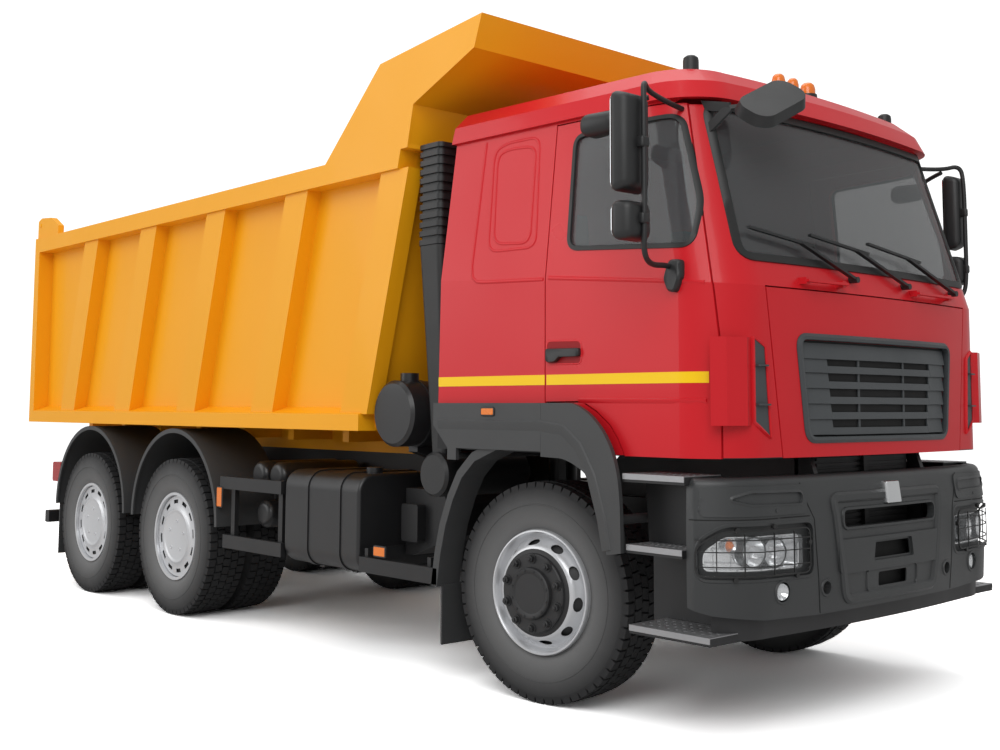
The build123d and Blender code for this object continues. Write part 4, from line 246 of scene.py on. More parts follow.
# black cast paint for the hubs, and also for the sheets of painted shade behind the wheel discs and covers
HUB_AND_SHADE_BLACK = finish("hub_cast_and_shade_black", (0.022, 0.022, 0.023), 0.5, bump=0.3, scale=320, shade=0.2)
for side in ("right", "left"):
    body = f"front_wheel_{side}"
    form = bmesh.new()
    lathe(form, HUB_SECTION, 96)
    for number in range(NUT_COUNT):
        spot = around(NUT_CIRCLE, number, NUT_COUNT)
        lathe(form, NUT_WASHER, 20, spot)
        lathe(form, NUT, HEX, spot)
        lathe(form, STUD_END, 12, spot)
    for number in range(CAP_BOLTS):
        lathe(form, CAP_BOLT, HEX, around(CAP_BOLT_CIRCLE, number, CAP_BOLTS))
    bmesh.ops.transform(form, matrix=axle_frame(body) @ Matrix.Translation((0, 0, HUB_OUT)), verts=form.verts)
    piece(f"front_hub_{side}", form, HUB_AND_SHADE_BLACK, body, smooth=28)

# ---------------------------------------------------------------- front wheel discs
# Pressed steel in silver paint: the rim's rolled edge, its drop to the well, and the disc that domes out
# to the hub with ten oval hand holes. A dark ring behind stands for the shaded inside of the wheel.
DISC_SECTION = ((0.294, 0.118), (0.302, 0.124), (0.305, 0.142), (0.301, 0.149), (0.294, 0.15), (0.287, 0.143),
                (0.282, 0.128), (0.277, 0.108), (0.27, 0.1), (0.263, 0.104), (0.257, 0.114), (0.25, 0.12525),
                (0.243, 0.1365), (0.236, 0.14775), (0.229, 0.159), (0.219, 0.166), (0.2, 0.168))
DISC_SHADE_RING = ((0.264, 0.088), (0.205, 0.148), (0.2, 0.148), (0.2, 0.142), (0.258, 0.084))
DISC_STEPS = 120
HAND_HOLES = 10
HOLE_PITCH = DISC_STEPS // HAND_HOLES
# the holes' middle within their pitch
HOLE_PHASE = 0.75
# inner radius, outer radius, half the width in steps
HOLE_ROWS = ((0.229, 0.236, 2), (0.236, 0.25, 3), (0.25, 0.257, 2))
HOLE_RADIUS = 0.243
HOLE_HALF_HEIGHT = 0.0135
HOLE_HALF_LENGTH = 0.036
# radius and height at the foot and the top of the cone that the holes are cut through
CONE_FOOT = (0.257, 0.114)
CONE_TOP = (0.229, 0.159)
SHEET_GAUGE = 0.003


def to_oval(corner):
    """Moves a corner of a hole's stepped edge onto an oval, along the cone."""
    angle = math.atan2(corner.co.y, corner.co.x)
    pitch = math.tau / HAND_HOLES
    middle = (round(angle / pitch - HOLE_PHASE) + HOLE_PHASE) * pitch
    off = Vector(((corner.co.xy.length - HOLE_RADIUS) / HOLE_HALF_HEIGHT,
                  (angle - middle) * HOLE_RADIUS / HOLE_HALF_LENGTH)).normalized()
    radius = HOLE_RADIUS + off.x * HOLE_HALF_HEIGHT
    angle = middle + off.y * HOLE_HALF_LENGTH / HOLE_RADIUS
    share = (CONE_FOOT[0] - radius) / (CONE_FOOT[0] - CONE_TOP[0])
    corner.co = Vector((radius * math.cos(angle), radius * math.sin(angle),
                        CONE_FOOT[1] + share * (CONE_TOP[1] - CONE_FOOT[1])))


def step_round(face, steps):
    """Which step of a lathed form a face belongs to, counted from the X axis."""
    middle = face.calc_center_median()
    return int(math.degrees(math.atan2(middle.y, middle.x)) % 360 / (360 / steps))


SILVER = finish("wheel_silver_paint", (0.66, 0.67, 0.69), 0.34, metal=0.45, coat=0.15, shade=0.12)
for side in ("right", "left"):
    body = f"front_wheel_{side}"
    form = bmesh.new()
    lathe(form, DISC_SECTION, DISC_STEPS)
    holes = []
    for face in form.faces:
        off_middle = abs(step_round(face, DISC_STEPS) % HOLE_PITCH + 0.5 - HOLE_PHASE * HOLE_PITCH)
        radius = face.calc_center_median().xy.length
        if any(low < radius < high and off_middle < half for low, high, half in HOLE_ROWS):
            holes.append(face)
    bmesh.ops.delete(form, geom=holes, context="FACES")
    for corner in form.verts:
        on_cone = CONE_TOP[0] - 0.001 < corner.co.xy.length < CONE_FOOT[0] + 0.001
        if on_cone and any(edge.is_boundary for edge in corner.link_edges):
            to_oval(corner)
    bmesh.ops.recalc_face_normals(form, faces=form.faces)
    bmesh.ops.solidify(form, geom=form.faces, thickness=SHEET_GAUGE)
    bmesh.ops.transform(form, matrix=axle_frame(body), verts=form.verts)
    piece(f"front_disc_{side}", form, SILVER, body, smooth=40)
    # painted shade: a black ring behind the disc stands for the shaded inside of the wheel
    form = bmesh.new()
    lathe(form, DISC_SHADE_RING, 72)
    bmesh.ops.transform(form, matrix=axle_frame(body), verts=form.verts)
    piece(f"front_disc_shade_ring_{side}", form, HUB_AND_SHADE_BLACK, body, smooth=32)

# ---------------------------------------------------------------- rear wheel covers
# Pressed steel covers over the twin wheels, painted silver: a shallow dish with a rolled step, twelve
# ventilation slots near the rim and five clips on the flat middle. A black disc behind each cover is
# painted shade for the wheel's inside, seen through the slots.
COVER_SECTION = ((0.0, 0.112), (0.158, 0.112), (0.168, 0.1145), (0.176, 0.119), (0.183, 0.119),
                 (0.191, 0.113), (0.199, 0.108), (0.2265, 0.1055), (0.2525, 0.1035), (0.263, 0.1025),
                 (0.271, 0.1045), (0.277, 0.1045), (0.281, 0.098), (0.281, 0.09))
COVER_SHADE_SECTION = ((0.0, 0.098), (0.262, 0.093), (0.262, 0.089), (0.0, 0.094))
SLOT_RING = (0.2265, 0.2525)
COVER_STEPS = 120
SLOT_PITCH = 10
SLOT_STEPS = 5
CLIP = ((0.0, 0.1125), (0.006, 0.1125), (0.0075, 0.1165), (0.0105, 0.1165), (0.0125, 0.1115), (0.0, 0.1115))
CLIP_CIRCLE = 0.105
CLIP_COUNT = 5
CLIP_PHASE = 0.2

for body in WHEELS:
    if "front" in body:
        continue
    form = bmesh.new()
    lathe(form, COVER_SECTION, COVER_STEPS)
    slots = []
    for face in form.faces:
        in_ring = SLOT_RING[0] < face.calc_center_median().xy.length < SLOT_RING[1]
        if in_ring and step_round(face, COVER_STEPS) % SLOT_PITCH < SLOT_STEPS:
            slots.append(face)
    bmesh.ops.delete(form, geom=slots, context="FACES")
    bmesh.ops.recalc_face_normals(form, faces=form.faces)
    bmesh.ops.solidify(form, geom=form.faces, thickness=SHEET_GAUGE)
    for number in range(CLIP_COUNT):
        lathe(form, CLIP, 16, around(CLIP_CIRCLE, number, CLIP_COUNT, CLIP_PHASE))
    bmesh.ops.transform(form, matrix=axle_frame(body), verts=form.verts)
    piece(f"{body}_cover", form, SILVER, body, smooth=32)
    # painted shade: a black disc behind the cover, seen through its slots
    form = bmesh.new()
    lathe(form, COVER_SHADE_SECTION, 72)
    bmesh.ops.transform(form, matrix=axle_frame(body), verts=form.verts)
    piece(f"{body}_cover_shade_disc", form, HUB_AND_SHADE_BLACK, body, smooth=32)


def paint(material, *nodes):
    """Gives CAD nodes their finish."""
    for node in nodes:
        mesh = frame["nodes"][node].data
        mesh.materials.clear()
        mesh.materials.append(material)


paint(SILVER, "front_rim_right", "front_rim_left", "middle_rims_right", "middle_rims_left", "rear_rims_right",
      "rear_rims_left")
paint(RUBBER, "front_tyre_right", "front_tyre_left", "middle_tyres_right", "middle_tyres_left",
      "rear_tyres_right", "rear_tyres_left")

# ---------------------------------------------------------------- cab shell and its pressings
# The sleeper cab of pressed and spot-welded steel sheet in red enamel. Its side panels carry a nested
# pair of rounded swages, a deep press line behind them and a rain gutter under the roof.
FRONT_AXLE_X = 2.44
# a strip's section is given as (offset across its path, lift off the sheet)
SWAGE = ((-0.010, -0.002), (-0.004, 0.0035), (0.004, 0.0035), (0.010, -0.002))
SWAGE_OUTLINES = (((-0.248, 2.245), (-0.262, 2.78), (-0.175, 2.812), (0.064, 2.812), (0.096, 2.24)),
                  ((-0.212, 2.283), (-0.236, 2.752), (-0.158, 2.778), (0.044, 2.766), (0.052, 2.264)))
GUTTER_PATH = ((-0.568, 2.868), (0.147, 2.872), (0.74, 2.874))
GUTTER = ((-0.006, -0.004), (-0.006, 0.012), (0.006, 0.014), (0.008, -0.004))
PRESS_PATH = ((-0.329, 2.84), (-0.345, 2.5), (-0.363, 2.18), (-0.352, 2.12), (-0.318, 2.094), (-0.27, 2.088),
              (0.165, 2.072))
PRESS_LINE = ((-0.012, -0.002), (-0.005, 0.004), (0.005, 0.004), (0.012, -0.002))

RED = finish("cab_red_enamel", (0.6, 0.011, 0.018), 0.33, coat=0.12, shade=0.05, patches=1.6, gloss=0.25)


def cab_side(x, z):
    """Distance of the cab's side wall from the middle plane, x from the front axle."""
    belt = 2.12 - (x + 0.6) * 0.0737
    rise = max(0.0, (z - belt) / (2.87 - belt))
    start_x, start_y = 1.0 - 0.24 * rise, 1.17 - 0.091 * rise
    rear_x, rear_y = -0.6 + 0.035 * rise, 1.22 - 0.076 * rise
    if x <= start_x:
        return rear_y + (start_y - rear_y) * (x - rear_x) / (start_x - rear_x)
    return start_y - 0.2888 + math.sqrt(max(0.0, 0.2908 ** 2 - (x - start_x + 0.0352) ** 2))


def on_side(side):
    """Lays (along, up, lift) on one side wall of the cab; side is -1 on the right."""
    return lambda x, z, lift: (x + FRONT_AXLE_X, side * (cab_side(x, z) + lift), z)


def rounded(outline, radius, steps=6):
    """Closed outline with each corner swept by a short curve."""
    swept = []
    for before, corner, after in zip(outline[-1:] + outline[:-1], outline, outline[1:] + outline[:1]):
        before, corner, after = Vector(before), Vector(corner), Vector(after)
        start = corner + (before - corner).normalized() * min(radius, (before - corner).length * 0.48)
        end = corner + (after - corner).normalized() * min(radius, (after - corner).length * 0.48)
        for step in range(steps + 1):
            share = step / steps
            swept.append(start * (1 - share) ** 2 + corner * 2 * share * (1 - share) + end * share ** 2)
    return swept


def divided(points, longest=0.09, closed=True):
    """Adds points along the runs so that a strip can follow a curved panel."""
    fine = []
    following = points[1:] + points[:1] if closed else points[1:]
    for start, end in zip(points, following):
        start, end = Vector(start), Vector(end)
        parts = max(1, math.ceil((end - start).length / longest))
        fine += [start.lerp(end, part / parts) for part in range(parts)]
    return fine if closed else fine + [Vector(points[-1])]


def across(points, index, closed):
    """Unit normal of an outline at one of its points, to the right of travel."""
    count = len(points)
    before = points[index - 1] if closed or index > 0 else points[index]
    after = points[(index + 1) % count] if closed or index < count - 1 else points[index]
    way = (after - before).normalized()
    return Vector((way.y, -way.x))


def strip(form, points, section, lay, closed=True):
    """Sweeps a closed section of (offset, lift) corners along a path laid on a panel."""
    rails = []
    for offset, lift in section:
        rails.append([form.verts.new(lay(*(point + across(points, index, closed) * offset), lift))
                      for index, point in enumerate(points)])
    count = len(points)
    for rail, following in zip(rails, rails[1:] + rails[:1]):
        for index in range(count if closed else count - 1):
            after = (index + 1) % count
            form.faces.new((rail[index], rail[after], following[after], following[index]))
    if not closed:
        form.faces.new([rail[0] for rail in rails])
        form.faces.new([rail[-1] for rail in rails[::-1]])


# the floor and the mounts are black chassis paint, and the strip behind the wings is drawn the same black
SHELL_RED = RED.copy()
SHELL_RED.name = "cab_shell_enamel"
shell_tree = SHELL_RED.node_tree
shell_place = shell_tree.nodes.new("ShaderNodeTexCoord")
shell_split = shell_tree.nodes.new("ShaderNodeSeparateXYZ")
ahead_of_wing = shell_tree.nodes.new("ShaderNodeMath")
ahead_of_wing.operation = "GREATER_THAN"
ahead_of_wing.inputs[1].default_value = 2.62
black_top = shell_tree.nodes.new("ShaderNodeMath")
black_top.operation = "MULTIPLY_ADD"
black_top.inputs[1].default_value = -0.14
black_top.inputs[2].default_value = 1.372
below = shell_tree.nodes.new("ShaderNodeMath")
below.operation = "LESS_THAN"
underbody = shell_tree.nodes.new("ShaderNodeMix")
underbody.data_type = "RGBA"
underbody.inputs["B"].default_value = (0.012, 0.012, 0.013, 1)
shell_shader = shell_tree.nodes["Principled BSDF"]
shell_tree.links.new(shell_place.outputs["Object"], shell_split.inputs["Vector"])
shell_tree.links.new(shell_split.outputs["X"], ahead_of_wing.inputs[0])
shell_tree.links.new(ahead_of_wing.outputs["Value"], black_top.inputs[0])
shell_tree.links.new(shell_split.outputs["Z"], below.inputs[0])
shell_tree.links.new(black_top.outputs["Value"], below.inputs[1])
shell_tree.links.new(below.outputs["Value"], underbody.inputs["Factor"])
shell_tree.links.new(shell_shader.inputs["Base Color"].links[0].from_socket, underbody.inputs["A"])
shell_tree.links.new(underbody.outputs["Result"], shell_shader.inputs["Base Color"])
paint(SHELL_RED, "cab_shell")
for side, side_name in ((-1, "right"), (1, "left")):
    form = bmesh.new()
    for outline in SWAGE_OUTLINES:
        strip(form, divided(rounded(outline, 0.07)), SWAGE, on_side(side))
    strip(form, divided(PRESS_PATH, closed=False), PRESS_LINE, on_side(side), closed=False)
    strip(form, divided(GUTTER_PATH, closed=False), GUTTER, on_side(side), closed=False)
    piece(f"cab_pressings_{side_name}", form, RED, "cab", smooth=50)

# ---------------------------------------------------------------- doors
# Each door is a red steel pressing with a belt line, a stepped moulding under the stripe and a recess
# for its black plastic pull handle and lock barrel, the recess's floor a darker red for painted shade.
BELT_PATH = ((0.2, 2.076), (0.6, 2.04), (1.115, 1.993))
BELT_LINE = ((-0.014, -0.002), (-0.004, 0.005), (0.003, 0.005), (0.014, -0.002))
MOULDING_PATH = ((0.402, 1.478), (0.8, 1.476), (1.12, 1.474))
MOULDING = ((-0.014, -0.002), (-0.012, 0.007), (-0.004, 0.008), (0.014, -0.002))
RECESS = ((0.192, 1.655), (0.192, 1.768), (0.42, 1.762), (0.42, 1.652))
RECESS_EDGE = ((-0.006, -0.002), (-0.002, 0.003), (0.003, 0.003), (0.007, -0.002))
# bar of the handle: along, up; thick at the hinge end, thin at the grip
HANDLE = ((0.198, 1.672), (0.198, 1.73), (0.418, 1.727), (0.418, 1.688), (0.29, 1.688), (0.262, 1.664),
          (0.215, 1.662))

MOULDED_BLACK = finish("moulded_black_plastic", (0.014, 0.0145, 0.015), 0.45, bump=0.2, scale=900)
RECESS_SHADE_RED = finish("recess_shade_red", (0.3, 0.005, 0.008), 0.4, shade=0.05, gloss=0.2)


def plate(form, outline, lay, low, high, inset=0.0):
    """Closed slab over an outline laid on a panel, its top face drawn in by inset for a soft edge."""
    points = [Vector(point) for point in outline]
    middle = sum(points, Vector((0, 0))) / len(points)
    base = [form.verts.new(lay(*point, low)) for point in points]
    side = [form.verts.new(lay(*point, high - inset)) for point in points]
    drawn = [form.verts.new(lay(*(point + (middle - point).normalized() * inset), high)) for point in points]
    rings = (base, side, drawn) if inset else (base, side)
    for lower, upper in zip(rings[:-1], rings[1:]):
        for index in range(len(points)):
            after = (index + 1) % len(points)
            form.faces.new((lower[index], lower[after], upper[after], upper[index]))
    top = form.faces.new(rings[-1])
    form.faces.new(base[::-1])
    bmesh.ops.triangulate(form, faces=[top])


for side, side_name in ((-1, "right"), (1, "left")):
    door = f"door_{side_name}"
    paint(RED, door)
    lay = on_side(side)
    form = bmesh.new()
    strip(form, divided(BELT_PATH, closed=False), BELT_LINE, lay, closed=False)
    strip(form, divided(MOULDING_PATH, closed=False), MOULDING, lay, closed=False)
    strip(form, divided(rounded(RECESS, 0.03)), RECESS_EDGE, lay)
    piece(f"{door}_pressings", form, RED, door, smooth=50)
    form = bmesh.new()
    # painted shade: the recess's floor is a darker red than the door
    plate(form, divided(rounded(RECESS, 0.03)), lay, -0.002, 0.0012)
    piece(f"{door}_handle_recess", form, RECESS_SHADE_RED, door)
    form = bmesh.new()
    plate(form, divided(rounded(HANDLE, 0.014)), lay, 0.0, 0.024, 0.006)
    piece(f"{door}_handle", form, MOULDED_BLACK, door, smooth=60)

# ---------------------------------------------------------------- side stripe
# A band of yellow reflective film along each side of the cab, cut at the door's edge so that one
# length sits on the shell and one on the door.
STRIPE_PATHS = (("cab", -0.612, 0.177), ("door", 0.19, 1.128))
STRIPE_Z = 1.5795
STRIPE_SECTION = ((-0.0245, -0.001), (-0.0245, 0.0014), (0.0245, 0.0014), (0.0245, -0.001))

STRIPE = finish("stripe_yellow_film", (0.95, 0.6, 0.004), 0.36, shade=0.04, gloss=0.3)
for side, side_name in ((-1, "right"), (1, "left")):
    for panel, start, end in STRIPE_PATHS:
        form = bmesh.new()
        strip(form, divided([(start, STRIPE_Z), (end, STRIPE_Z)], 0.03, closed=False), STRIPE_SECTION,
              on_side(side), closed=False)
        body = "cab" if panel == "cab" else f"door_{side_name}"
        piece(f"side_stripe_{panel}_{side_name}", form, STRIPE, body)

# ---------------------------------------------------------------- windscreen and side windows
# Laminated tinted glass bonded behind black rubber gaskets that stand a little proud of the steel.
SCREEN = ((-0.988, 2.112), (0.988, 2.112), (0.948, 2.838), (-0.948, 2.838))
DOOR_WINDOW = ((0.32, 2.212), (0.31, 2.772), (0.918, 2.785), (1.052, 2.36), (1.045, 2.162))
GASKET = ((-0.013, -0.006), (-0.011, 0.005), (0.009, 0.006), (0.012, -0.002))
SCREEN_GASKET = ((-0.024, -0.006), (-0.02, 0.006), (0.014, 0.008), (0.018, -0.004))


def glass(name, tint, rough, alpha):
    """Thin tinted glass: see-through by alpha so that what is behind it stays visible."""
    made = bpy.data.materials.new(name)
    made.use_nodes = True
    shader = made.node_tree.nodes["Principled BSDF"]
    shader.inputs["Base Color"].default_value = (*tint, 1)
    shader.inputs["Roughness"].default_value = rough
    shader.inputs["Alpha"].default_value = alpha
    shader.inputs["IOR"].default_value = 1.5
    return made


def cab_front(y, z):
    """How far forward of the axle the cab's face stands."""
    rise = max(0.0, (z - 1.984) / (2.87 - 1.984))
    nose, end_x, end_y = 1.3 - 0.239 * rise, 1.255 - 0.239 * rise, 0.9 - 0.092 * rise
    if abs(y) <= end_y:
        return nose - (nose - end_x) * (y / end_y) ** 2
    centre_x, centre_y = 0.9648 - 0.24 * rise, 0.8812 - 0.091 * rise
    return centre_x + math.sqrt(max(0.0, 0.2908 ** 2 - (abs(y) - centre_y) ** 2))


def on_front(y, z, lift):
    """Lays (across, up, lift) on the cab's face."""
    return (cab_front(y, z) + lift + FRONT_AXLE_X, y, z)


GLASS = glass("cab_glass", (0.09, 0.097, 0.1), 0.03, 0.5)
GASKET_RUBBER = finish("gasket_rubber", (0.009, 0.009, 0.009), 0.5)
paint(GLASS, "windscreen", "door_glass_right", "door_glass_left")
form = bmesh.new()
strip(form, divided(rounded(SCREEN, 0.075), 0.05), SCREEN_GASKET, on_front)
piece("windscreen_gasket", form, GASKET_RUBBER, "cab", smooth=50)
for side, side_name in ((-1, "right"), (1, "left")):
    form = bmesh.new()
    strip(form, divided(rounded(DOOR_WINDOW, 0.06), 0.05), GASKET, on_side(side))
    piece(f"door_gasket_{side_name}", form, GASKET_RUBBER, f"door_{side_name}", smooth=50)

# ---------------------------------------------------------------- front panel and grille
# The lift-up steel flap carries a grille moulded in charcoal plastic: a rounded frame, a broad top
# slat, five louvres that narrow between the ends, and two posts against a black sheet of painted
# shade that stands for the dark radiator space.
GRILLE_FRAME = ((-0.606, 1.315), (0.606, 1.315), (0.66, 1.76), (-0.66, 1.76))
FRAME_SECTION = ((-0.004, -0.004), (-0.002, 0.012), (0.012, 0.014), (0.026, 0.004), (0.026, -0.02),
                 (0.0, -0.02))
LOUVRE_PITCH = 0.0705
LOUVRE_LOW = 1.326
LOUVRE_COUNT = 5
LOUVRE_LEAN = 0.14
LOUVRE_LAP = 0.006
# height of a louvre between its broad ends, and the ends' lengths
SLIM_HEIGHT = 0.033
BROAD_ENDS = (0.17, 0.158)
TOP_SLAT = (1.672, 1.745)
TOP_SLAT_LEAN = 0.2
POST_ROWS = (-0.2, 0.2)
POST_HALF = 0.008
POST_REACH = (1.33, 1.69)
SHADOW_SHEET = ((-0.6, 1.31), (0.6, 1.31), (0.655, 1.755), (-0.655, 1.755))

CHARCOAL = finish("grille_charcoal_plastic", (0.05, 0.056, 0.06), 0.42, bump=0.2, scale=900, shade=0.1)
# black for panel gaps and seams, and for the sheets of painted shade behind the grille and the bumper's slots
GAP_AND_SHADE_BLACK = finish("gap_and_shade_black", (0.004, 0.004, 0.004), 0.8)


def cut_sheet(form, outline, holes, low, high, lay, across_cuts=(), up_cuts=()):
    """Sheet with holes: filled flat, cut into strips so that it can bend, thickened and laid in place."""
    flat = bmesh.new()
    edges = []
    for loop in (outline, *holes):
        corners = [flat.verts.new((u, v, 0)) for u, v in loop]
        edges += [flat.edges.new((a, b)) for a, b in zip(corners, corners[1:] + corners[:1])]
    bmesh.ops.triangle_fill(flat, use_beauty=True, edges=edges, normal=(0, 0, 1))
    for cut, way in [(u, (1, 0, 0)) for u in across_cuts] + [(v, (0, 1, 0)) for v in up_cuts]:
        place = (cut, 0, 0) if way[0] else (0, cut, 0)
        bmesh.ops.bisect_plane(flat, geom=flat.verts[:] + flat.edges[:] + flat.faces[:], plane_co=place,
                               plane_no=way)
    bmesh.ops.recalc_face_normals(flat, faces=flat.faces)
    rim = [edge for edge in flat.edges if len(edge.link_faces) == 1]
    lower = {corner: form.verts.new(lay(corner.co.x, corner.co.y, low)) for corner in flat.verts}
    upper = {corner: form.verts.new(lay(corner.co.x, corner.co.y, high)) for corner in flat.verts}
    for face in flat.faces:
        form.faces.new([upper[corner] for corner in face.verts])
        form.faces.new([lower[corner] for corner in face.verts][::-1])
    for edge in rim:
        a, b = edge.verts
        form.faces.new((lower[a], lower[b], upper[b], upper[a]))
    flat.free()


def steps_between(start, end, step):
    """Places of the cuts that divide a run into even steps."""
    count = max(1, round((end - start) / step))
    return [start + (end - start) * number / count for number in range(1, count)]


def half_width(z):
    """Inner half width of the grille frame at a height."""
    return 0.606 + (z - 1.315) * 0.121 - 0.02


def box_outline(middle, half, low, high):
    """Upright rectangle about a middle line."""
    return [(middle - half, low), (middle + half, low), (middle + half, high), (middle - half, high)]


paint(RED, "front_panel")
form = bmesh.new()
strip(form, divided(rounded(GRILLE_FRAME, 0.045), 0.06), FRAME_SECTION, on_front)
for row in range(LOUVRE_COUNT):
    low = LOUVRE_LOW + row * LOUVRE_PITCH
    reach = half_width(low)
    inner_start, inner_end = -reach + BROAD_ENDS[0], reach - BROAD_ENDS[1]
    for start, end in ((-reach, inner_start), (inner_start, inner_end), (inner_end, reach)):
        top = low + (SLIM_HEIGHT if start == inner_start else LOUVRE_PITCH + LOUVRE_LAP)
        slab = [(start, low), (end, low), (end, top), (start, top)]
        plate(form, divided(slab, 0.08), lambda y, z, lift: on_front(y, z, lift - (z - low) * LOUVRE_LEAN),
              -0.01, 0.0, 0.002)
slab = [(-half_width(1.68), TOP_SLAT[0]), (half_width(1.68), TOP_SLAT[0]), (half_width(1.74), TOP_SLAT[1]),
        (-half_width(1.74), TOP_SLAT[1])]
plate(form, divided(slab, 0.08),
      lambda y, z, lift: on_front(y, z, lift - (z - TOP_SLAT[0]) * TOP_SLAT_LEAN), -0.012, -0.001, 0.003)
for y in POST_ROWS:
    plate(form, divided(box_outline(y, POST_HALF, *POST_REACH), 0.08), on_front, -0.0175, -0.011)
piece("grille_louvres", form, CHARCOAL, "cab", ("grille",), smooth=35)
form = bmesh.new()
# painted shade: a black sheet behind the louvres stands for the shade of the radiator space
cut_sheet(form, SHADOW_SHEET, [], -0.024, -0.0185, on_front, steps_between(-0.66, 0.66, 0.07))
piece("grille_shadow", form, GAP_AND_SHADE_BLACK, "cab")

# ---------------------------------------------------------------- corner deflectors
# Red plastic air deflectors at the cab's corners. Each has a charcoal duct panel that faces the
# grille, with two thin fins across it.
DUCT = ((0.873, 1.322), (0.962, 1.388), (0.962, 1.75), (0.9, 1.712))
DUCT_RIM = ((-0.002, -0.002), (-0.002, 0.009), (0.005, 0.012), (0.012, 0.002), (0.012, -0.002))
# height, inner end, outer end
FINS = ((1.462, 0.89, 0.96), (1.632, 0.9, 0.96))


def mirrored(outline):
    """The same outline on the truck's other side."""
    return [(-x, z) for x, z in outline[::-1]]


paint(RED, "corner_deflectors")
for turned, side_name in ((mirrored, "right"), (list, "left")):
    form = bmesh.new()
    cut_sheet(form, turned(DUCT), [], 0.0, 0.005, on_front, steps_between(-0.97, -0.87, 0.02))
    for z, inner, outer in FINS:
        plate(form, turned([(inner, z - 0.004), (outer, z - 0.004), (outer, z + 0.004), (inner, z + 0.004)]),
              on_front, 0.0, 0.03, 0.003)
    piece(f"deflector_duct_{side_name}", form, CHARCOAL, "cab", smooth=0)
    form = bmesh.new()
    strip(form, divided([Vector(point) for point in turned(DUCT)], 0.04), DUCT_RIM, on_front)
    piece(f"deflector_lip_{side_name}", form, RED, "cab", smooth=40)

# ---------------------------------------------------------------- front bumper
# A heavy-duty bumper moulded in charcoal plastic over a steel frame: rolled top edge, raised middle
# frame with an open mouth and a stepped panel, corner caps and recesses for the lamps.
BUMPER_TOP = 1.148
ROLL = 0.03
BUMPER_LOW = 0.535
NOSE_X = 1.325
# how far the bowed face falls back over its run, and where that run and the corner's end
BOW = 0.038
FRONT_RUN = 0.86
CORNER_RUN = 1.2704
CORNER_CENTRE = (0.9103, 0.8854)
CORNER_RADIUS = 0.3775
BUMPER_END = 1.315
BUMPER_EDGE = ((-BUMPER_END, 0.6), (-1.2, 0.572), (-0.95, 0.546), (-0.6, BUMPER_LOW), (0.6, BUMPER_LOW),
               (0.95, 0.546), (1.2, 0.572), (BUMPER_END, 0.6), (BUMPER_END, 1.2), (-BUMPER_END, 1.2))
LAMP_RECESS = ((0.625, 0.713), (1.262, 0.722), (1.262, 0.88), (1.15, 0.948), (0.625, 0.948))
LAMP_LENS = ((0.69, 0.748), (1.238, 0.756), (1.238, 0.835), (1.14, 0.9), (0.69, 0.896))
MOUTH = ((-0.4, 0.905), (0.4, 0.905), (0.4, 0.985), (-0.4, 0.985))
UPPER_SLOT = ((-0.165, 0.752), (0.165, 0.752), (0.15, 0.823), (-0.15, 0.823))
LOWER_SLOT = ((-0.125, 0.62), (0.125, 0.62), (0.125, 0.684), (-0.125, 0.684))
FRAME_LOOP = ((-0.4, 0.566), (0.4, 0.566), (0.451, 0.84), (0.487, 1.058), (-0.487, 1.058), (-0.451, 0.84))
CAP = ((0.665, 0.985), (1.25, 0.985), (1.25, 1.112), (0.655, 1.112))
SCOOP = ((0.69, 1.03), (1.02, 1.036), (1.12, 1.058), (1.02, 1.084), (0.69, 1.078))
FOG_PLACE = (0.834, 0.655)
TOW_PLACE = (0.532, 0.648)
SEAM_PATH = ((0.691, 1.118), (0.655, 1.03), (0.614, 0.955), (0.596, 0.75), (0.576, 0.54))
CAP_SEAM = ((0.645, 0.972), (1.3, 0.972))
FOG_RADIUS = 0.044
TOW_RADIUS = 0.03
STEP_PANEL = ((-0.44, 0.7), (0.44, 0.7), (0.455, 0.853), (-0.455, 0.853))
STEP_PANEL_SLOT = ((-0.176, 0.742), (0.176, 0.742), (0.16, 0.833), (-0.16, 0.833))
LOWER_PANEL = ((-0.22, 0.6), (0.22, 0.6), (0.22, 0.702), (-0.22, 0.702))
LAMP_SURROUND = ((0.615, 0.705), (1.272, 0.714), (1.272, 0.885), (1.155, 0.955), (0.615, 0.955))
SCREW_SPOTS = ((1.245, 1.06), (1.25, 1.02), (0.87, 1.005))
# low edge, high edge and half width of the black sheets of painted shade behind the slots
SLOT_BACKS = ((0.6, 0.7, 0.16), (0.74, 0.84, 0.2))
BLANK_PLATE = ((-0.06, 1.0), (0.06, 1.0), (0.056, 1.104), (-0.056, 1.104))
FRAME_RIDGE = ((-0.045, -0.003), (-0.03, 0.012), (-0.004, 0.014), (0.008, 0.006), (0.01, -0.003))
LOWER_RIDGE = ((-0.006, -0.002), (-0.003, 0.006), (0.004, 0.006), (0.008, -0.002))
MOUTH_LIP = ((0.014, -0.002), (0.01, 0.007), (-0.001, 0.007), (-0.001, -0.03), (0.006, -0.03))
LAMP_LIP = ((-0.004, -0.034), (-0.003, 0.003), (0.008, 0.004), (0.014, -0.002), (0.003, -0.034))
SCOOP_LIP = ((-0.003, -0.001), (0.0, 0.011), (0.008, 0.009), (0.014, 0.004))
HOLE_LIP = ((-0.001, -0.04), (-0.001, 0.004), (0.008, 0.005), (0.012, -0.001), (0.004, -0.04))
SEAM = ((-0.0025, -0.002), (-0.0025, 0.0012), (0.0025, 0.0012), (0.0025, -0.002))


